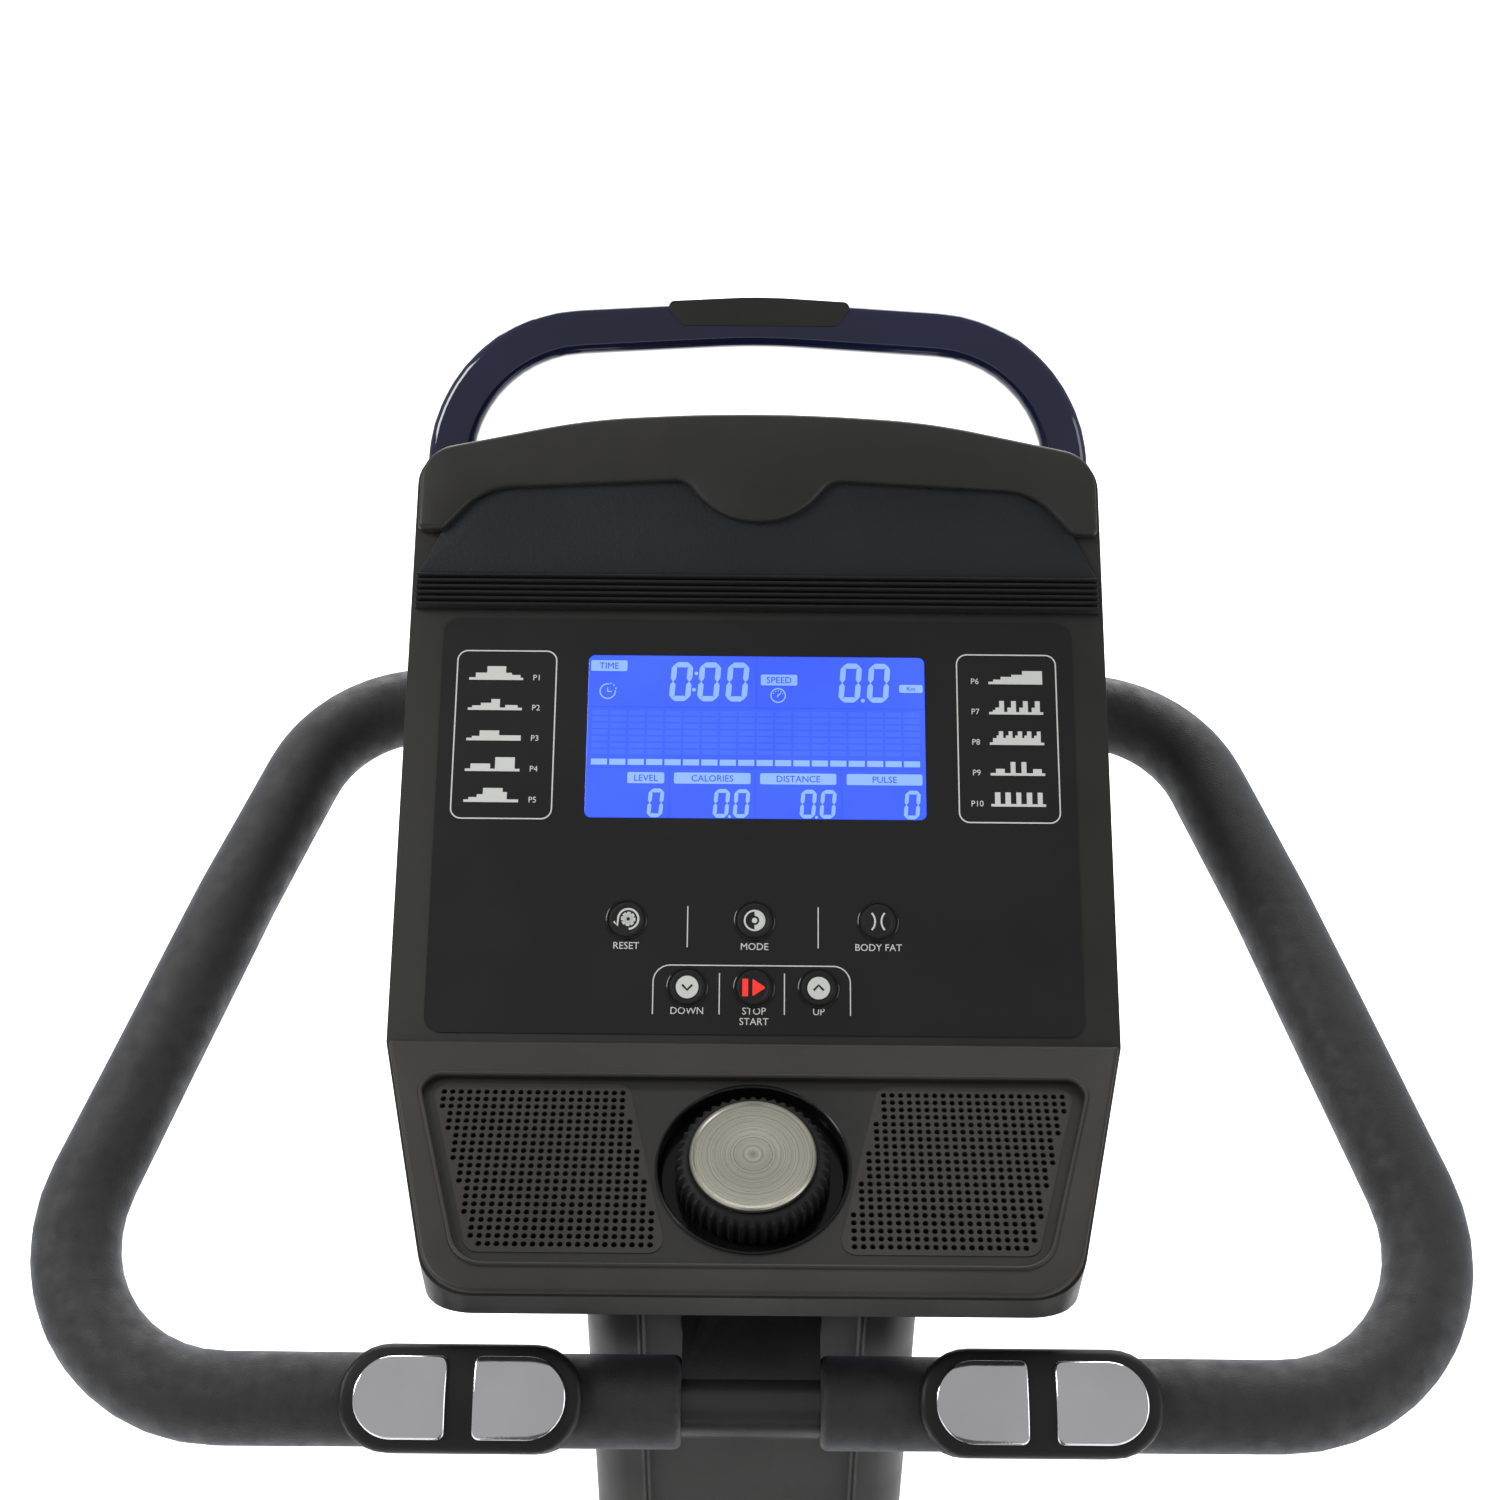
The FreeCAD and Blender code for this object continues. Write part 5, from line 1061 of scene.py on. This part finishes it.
by_slot = {"frame_paint": frame_paint, "rail_metal": anodised, "steel": machined, "rubber": black_rubber,
           "foam": foam_black, "upholstery": seat_vinyl, "black_plastic": black_plastic,
           "cover_plastic": cover_grey, "console_plastic": shell_plastic, "membrane": gloss_black,
           "display": screen_blue, "board": board_green, "button_plastic": black_plastic, "chrome": chrome,
           "knob_metal": champagne, "navy_gloss": navy.material, "motor_case": black_plastic}
by_name = {"keypad_overlay": film, "console_rear_shell_body": case_back_painted_reflection, "lower_panel_frame": panel_plastic_painted_light,
           "lower_panel_bead": panel_plastic_painted_light, "tablet_rest_plate": slate, "rubber_ribs": black_rubber,
           "display_segments": segment_light, "display_lettering": letter_blue,
           "display_rules": letter_blue, "display_matrix": matrix_blue, "keypad_print": print_grey,
           "button_start_stop_icon": print_red_painted_glow,
           "mast_cover_rear_body": mast_grey, "mast_cover_front_body": mast_grey,
           "speaker_grille_right": panel_plastic_painted_light, "speaker_grille_left": panel_plastic_painted_light,
           "hoop_grip_body": shell_plastic, "button_up_chevron": black_plastic,
           "button_down_chevron": black_plastic, "knob_grip": black_rubber}

# %% [markdown]
# ## Cushions
# A sewn cushion is a tight cover pushed out by foam. The CAD pad is drawn in a little, remeshed in even
# cells, and blown up by a cloth simulation, so its sides bulge between the corners and its top crowns.
# The sewn channels are pressed in afterwards, and a cord of piping follows the seam.

# %% Cushion by cloth simulation
voxel, swell_limit, sim_frames = 0.0055, 0.010, 20


def local_points(mesh, face):
    """A mesh's points in a face's own axes."""
    spots = np.zeros(len(mesh.vertices) * 3)
    mesh.vertices.foreach_get("co", spots)
    return (spots.reshape(-1, 3) - face.origin) @ face.turn


def baked(thing):
    """The mesh a piece has once its modifiers are worked out, left without them."""
    mesh = bpy.data.meshes.new_from_object(thing.evaluated_get(bpy.context.evaluated_depsgraph_get()))
    thing.modifiers.clear()
    thing.data = mesh
    return thing


def cushion(node, out, channels_across, channels_up, depth=0.007):
    """The CAD pad, drawn in, blown up, and pressed in along its sewn lines by
    depth x exp(-(distance / width)^2)."""
    face = Face(spot_of(node), axes_from(out))
    mesh = nodes[node].data.copy()
    mesh.materials.clear()
    thing = bpy.data.objects.new(node + "_cover", mesh)
    bpy.context.scene.collection.objects.link(thing)
    spots = local_points(mesh, face)
    low, high = spots.min(0), spots.max(0)
    middle = (low + high) / 2
    drawn = middle + (spots - middle) * np.array([0.972, 0.972, 1.0])
    drawn[:, 2] = low[2] + (spots[:, 2] - low[2]) * 0.86 + 0.001
    mesh.vertices.foreach_set("co", face.at(drawn).ravel())
    work = bmesh.new()
    work.from_mesh(mesh)
    bmesh.ops.remove_doubles(work, verts=work.verts, dist=2e-6)
    work.to_mesh(mesh)
    work.free()
    cells = thing.modifiers.new("even_cells", "REMESH")
    cells.mode, cells.voxel_size = "VOXEL", voxel
    baked(thing)
    start = local_points(thing.data, face)
    cloth = thing.modifiers.new("cover", "CLOTH")
    cloth.settings.use_pressure = True
    cloth.settings.uniform_pressure_force = 4.0
    cloth.settings.effector_weights.gravity = 0.0
    cloth.settings.tension_stiffness = cloth.settings.compression_stiffness = 20.0
    for step in range(1, sim_frames + 1):
        bpy.context.scene.frame_set(step)
    baked(thing)
    bpy.context.scene.frame_set(1)
    puffed = local_points(thing.data, face)
    move = puffed - start
    reach = np.linalg.norm(move, axis=1)[:, None]
    puffed = start + move * np.minimum(1, swell_limit / np.maximum(reach, 1e-9))
    share = ((puffed[:, :2] - middle[:2]) / ((high - low)[:2] / 2)).clip(-1, 1)
    above = ((puffed[:, 2] - middle[2]) / ((high - low)[2] / 2)).clip(0, 1)
    puffed[:, 2] += 0.005 * above * (1 - share[:, 0] ** 2) * (1 - share[:, 1] ** 2)
    width = 0.009
    press = np.zeros(len(puffed))
    for axis, lines in ((0, channels_across), (1, channels_up)):
        for line in lines:
            press = np.maximum(press, np.exp(-((puffed[:, axis] - middle[axis] - line) / width) ** 2))
    puffed[:, 2] -= depth * press * above ** 0.5
    puffed[:, 2] = np.maximum(puffed[:, 2], low[2] + 0.0004)
    puffed = np.minimum(np.maximum(puffed, low - 0.003), high + 0.004)
    thing.data.vertices.foreach_set("co", face.at(puffed).ravel())
    thing.data.update()
    thing.data.polygons.foreach_set("use_smooth", np.ones(len(thing.data.polygons), bool))
    finer = thing.modifiers.new("finer", "SUBSURF")
    finer.levels = finer.render_levels = 1
    settle(thing, node)
    return thing, face, low, high


def piping(name, thing, face, low, high, height, corner, node):
    """A round cord laid on the cover where its side seam runs: the seam's outline is shrunk on the cover
    by casting from outside toward the middle."""
    tree = BVHTree.FromObject(thing, bpy.context.evaluated_depsgraph_get())
    half = (high - low)[:2] / 2
    outline = oblong(half[0] + 0.02, half[1] + 0.02, corner + 0.02, *((low + high)[:2] / 2))
    ring = evenly(outline, count=260)
    inward = -(drawn_in(ring, -0.001) - ring)
    found = []
    for spot, way in zip(ring, inward):
        start = Vector(face.at([*spot, height]))
        aim = Vector(face.turn @ np.array([*way, 0.0]))
        hit = tree.ray_cast(start, aim.normalized(), 0.2)[0]
        found.append(np.array(hit if hit is not None else start))
    flat = ((np.array(found) - face.origin) @ face.turn)[:, :2]
    flat = (np.roll(flat, 1, axis=0) + flat + np.roll(flat, -1, axis=0)) / 3
    cord = tube(name, Face(face.at([0, 0, height]), face.turn), flat, circle(0.0028, 12), closed=True)
    settle(cord, node, stands_for=False)
    return cord


seat_pad = cushion("seat_cushion", (0, 0, 1), [-0.125, 0.125], [-0.09])
back_lean = math.radians(22)
back_pad = cushion("backrest_cushion", (0, math.cos(back_lean), math.sin(back_lean)), [-0.115, 0.115], [0.12])
for padded, name, corner in ((seat_pad, "seat_cushion", 0.06), (back_pad, "backrest_cushion", 0.08)):
    pad, face, low, high = padded
    thick = high[2] - low[2]
    for number, share in enumerate((0.14, 0.70)):
        piping(f"{name}_piping_{number}", pad, face, low, high, low[2] + thick * share, corner, name)
    print(name, "cover of", len(pad.data.polygons), "faces")

# %% [markdown]
# ## The rest of the machine
# Every other part keeps its CAD shape with rounded edges, each by the radius its making gives it:
# a welded tube's corners are wide, a machined edge is only broken.

# %% Soften the rest
EDGE = {"main_frame": 0.005, "seat_frame": 0.003, "seat_carriage": 0.0025, "seat_rail": 0.002, "stabilizers": 0.0008,
        "stabilizer_end_caps": 0.004, "drive_cover_left": 0.0012, "drive_cover_right": 0.0012,
        "mast_cover_rear": 0.0012, "mast_cover_front": 0.0012, "crank_arm_left": 0.003, "crank_arm_right": 0.003,
        "pedal_left": 0.004, "pedal_right": 0.004, "seat_shell": 0.003, "backrest_shell": 0.003,
        "levelling_foot_left": 0.002, "levelling_foot_right": 0.002, "transport_wheel_left": 0.003,
        "transport_wheel_right": 0.003, "seat_grips": 0.003, "seat_lever": 0.002, "power_inlet": 0.002,
        "handlebar_bracket": 0.002, "flywheel": 0.002, "drive_pulley": 0.001, "crank_axle": 0.0015,
        "magnet_bracket": 0.0015, "resistance_motor": 0.002, "fasteners": 0.001}
for node, width in EDGE.items():
    softened(node, width, 3, 32)
print(len(EDGE), "parts with softened edges")

# %% [markdown]
# ## Laying on the finishes
# A piece with a finish of its own takes it by name. Every other piece, and every CAD part still
# shown, takes the finish of its slot in the record.

# %% Finishes onto pieces
def dress(thing, material):
    """Gives a piece one material over its whole surface."""
    thing.data.materials.clear()
    thing.data.materials.append(material)


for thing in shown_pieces():
    slot = thing.get("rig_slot") or slot_of_node.get(thing.name)
    material = by_name.get(thing.name)
    if material is None and thing.name.endswith("_icon"):
        material = print_grey
    if material is None and "_piping_" in thing.name:
        material = seat_vinyl
    dress(thing, material or by_slot.get(slot, black_plastic))

# %% [markdown]
# ## Floor, light and camera
# A pale floor runs up behind as a sweep, so there is no horizon. Large soft lights stand to the left,
# above and behind, as in a product studio. The camera sits where the rider's eyes are.

# %% Studio
floor_half, sweep_up = 9.0, 6.0
arc = np.linspace(0, math.pi / 2, 24)
floor_y = np.concatenate([[-floor_half], floor_half - 3 + 3 * np.sin(arc), [floor_half]])
floor_z = np.concatenate([[0], 3 - 3 * np.cos(arc), [sweep_up]])
across = np.array([-floor_half, floor_half])
floor_grid = np.stack([np.broadcast_to(line, (2, len(floor_y))) for line in (across[:, None], floor_y, floor_z)],
                      axis=2)
floor = mesh_object("studio_floor", floor_grid.reshape(-1, 3),
                    grid_faces(2, len(floor_y), wrap_columns=False)[:, ::-1])
floor_white = moulded("pale_floor", (246, 246, 246), (248, 248, 248), 0.8, 0.85, 30, 0.00001)
floor_shader = floor_white.node_tree.nodes["Principled BSDF"]
floor_shader.inputs["Emission Color"].default_value = (1, 1, 1, 1)
floor_shader.inputs["Emission Strength"].default_value = 0.25
dress(floor, floor_white)


def softbox(name, spot, aim, wide, tall, watts, colour=(1, 1, 1)):
    """A rectangular area light at a spot, turned toward a point."""
    light = bpy.data.lights.new(name, "AREA")
    light.shape, light.size, light.size_y, light.energy, light.color = "RECTANGLE", wide, tall, watts, colour
    lamp = bpy.data.objects.new(name, light)
    bpy.context.scene.collection.objects.link(lamp)
    way = Vector(aim) - Vector(spot)
    lamp.matrix_world = Matrix.Translation(Vector(spot)) @ way.to_track_quat("-Z", "Y").to_matrix().to_4x4()
    return lamp


console_spot = tuple(main_face.origin)
softbox("key_left", (-2.4, -0.9, 2.9), console_spot, 1.3, 1.3, 60)
softbox("top_sheet", (0.2, 1.6, 3.4), console_spot, 2.6, 1.2, 60)
softbox("fill_right", (2.8, -1.2, 1.7), console_spot, 1.6, 2.2, 32, (0.93, 0.96, 1.0))
softbox("floor_wash", (0, 4.6, 4.5), (0, 5.5, 0.2), 5.0, 3.0, 500)
world = bpy.data.worlds.new("studio_air")
world.use_nodes = True
world.node_tree.nodes["Background"].inputs["Color"].default_value = (1, 1, 1, 1)
world.node_tree.nodes["Background"].inputs["Strength"].default_value = 0.45
bpy.context.scene.world = world
bpy.context.scene.view_settings.view_transform = "Standard"

# %% Camera
behind, above, pitch, roll = 0.7488, 0.4691, math.radians(14.0), math.radians(0.5)
eye = bar_middle + np.array([-0.0027, -behind, above])
sight = Vector((0.0, math.cos(pitch), -math.sin(pitch)))
camera_data = bpy.data.cameras.new("rider_view")
camera_data.lens, camera_data.sensor_width, camera_data.clip_start = 48.0, 36.0, 0.02
camera = bpy.data.objects.new("rider_view", camera_data)
bpy.context.scene.collection.objects.link(camera)
camera.matrix_world = (Matrix.Translation(Vector(eye)) @ sight.to_track_quat("-Z", "Y").to_matrix().to_4x4()
                       @ Matrix.Rotation(roll, 4, "Z"))
bpy.context.scene.camera = camera
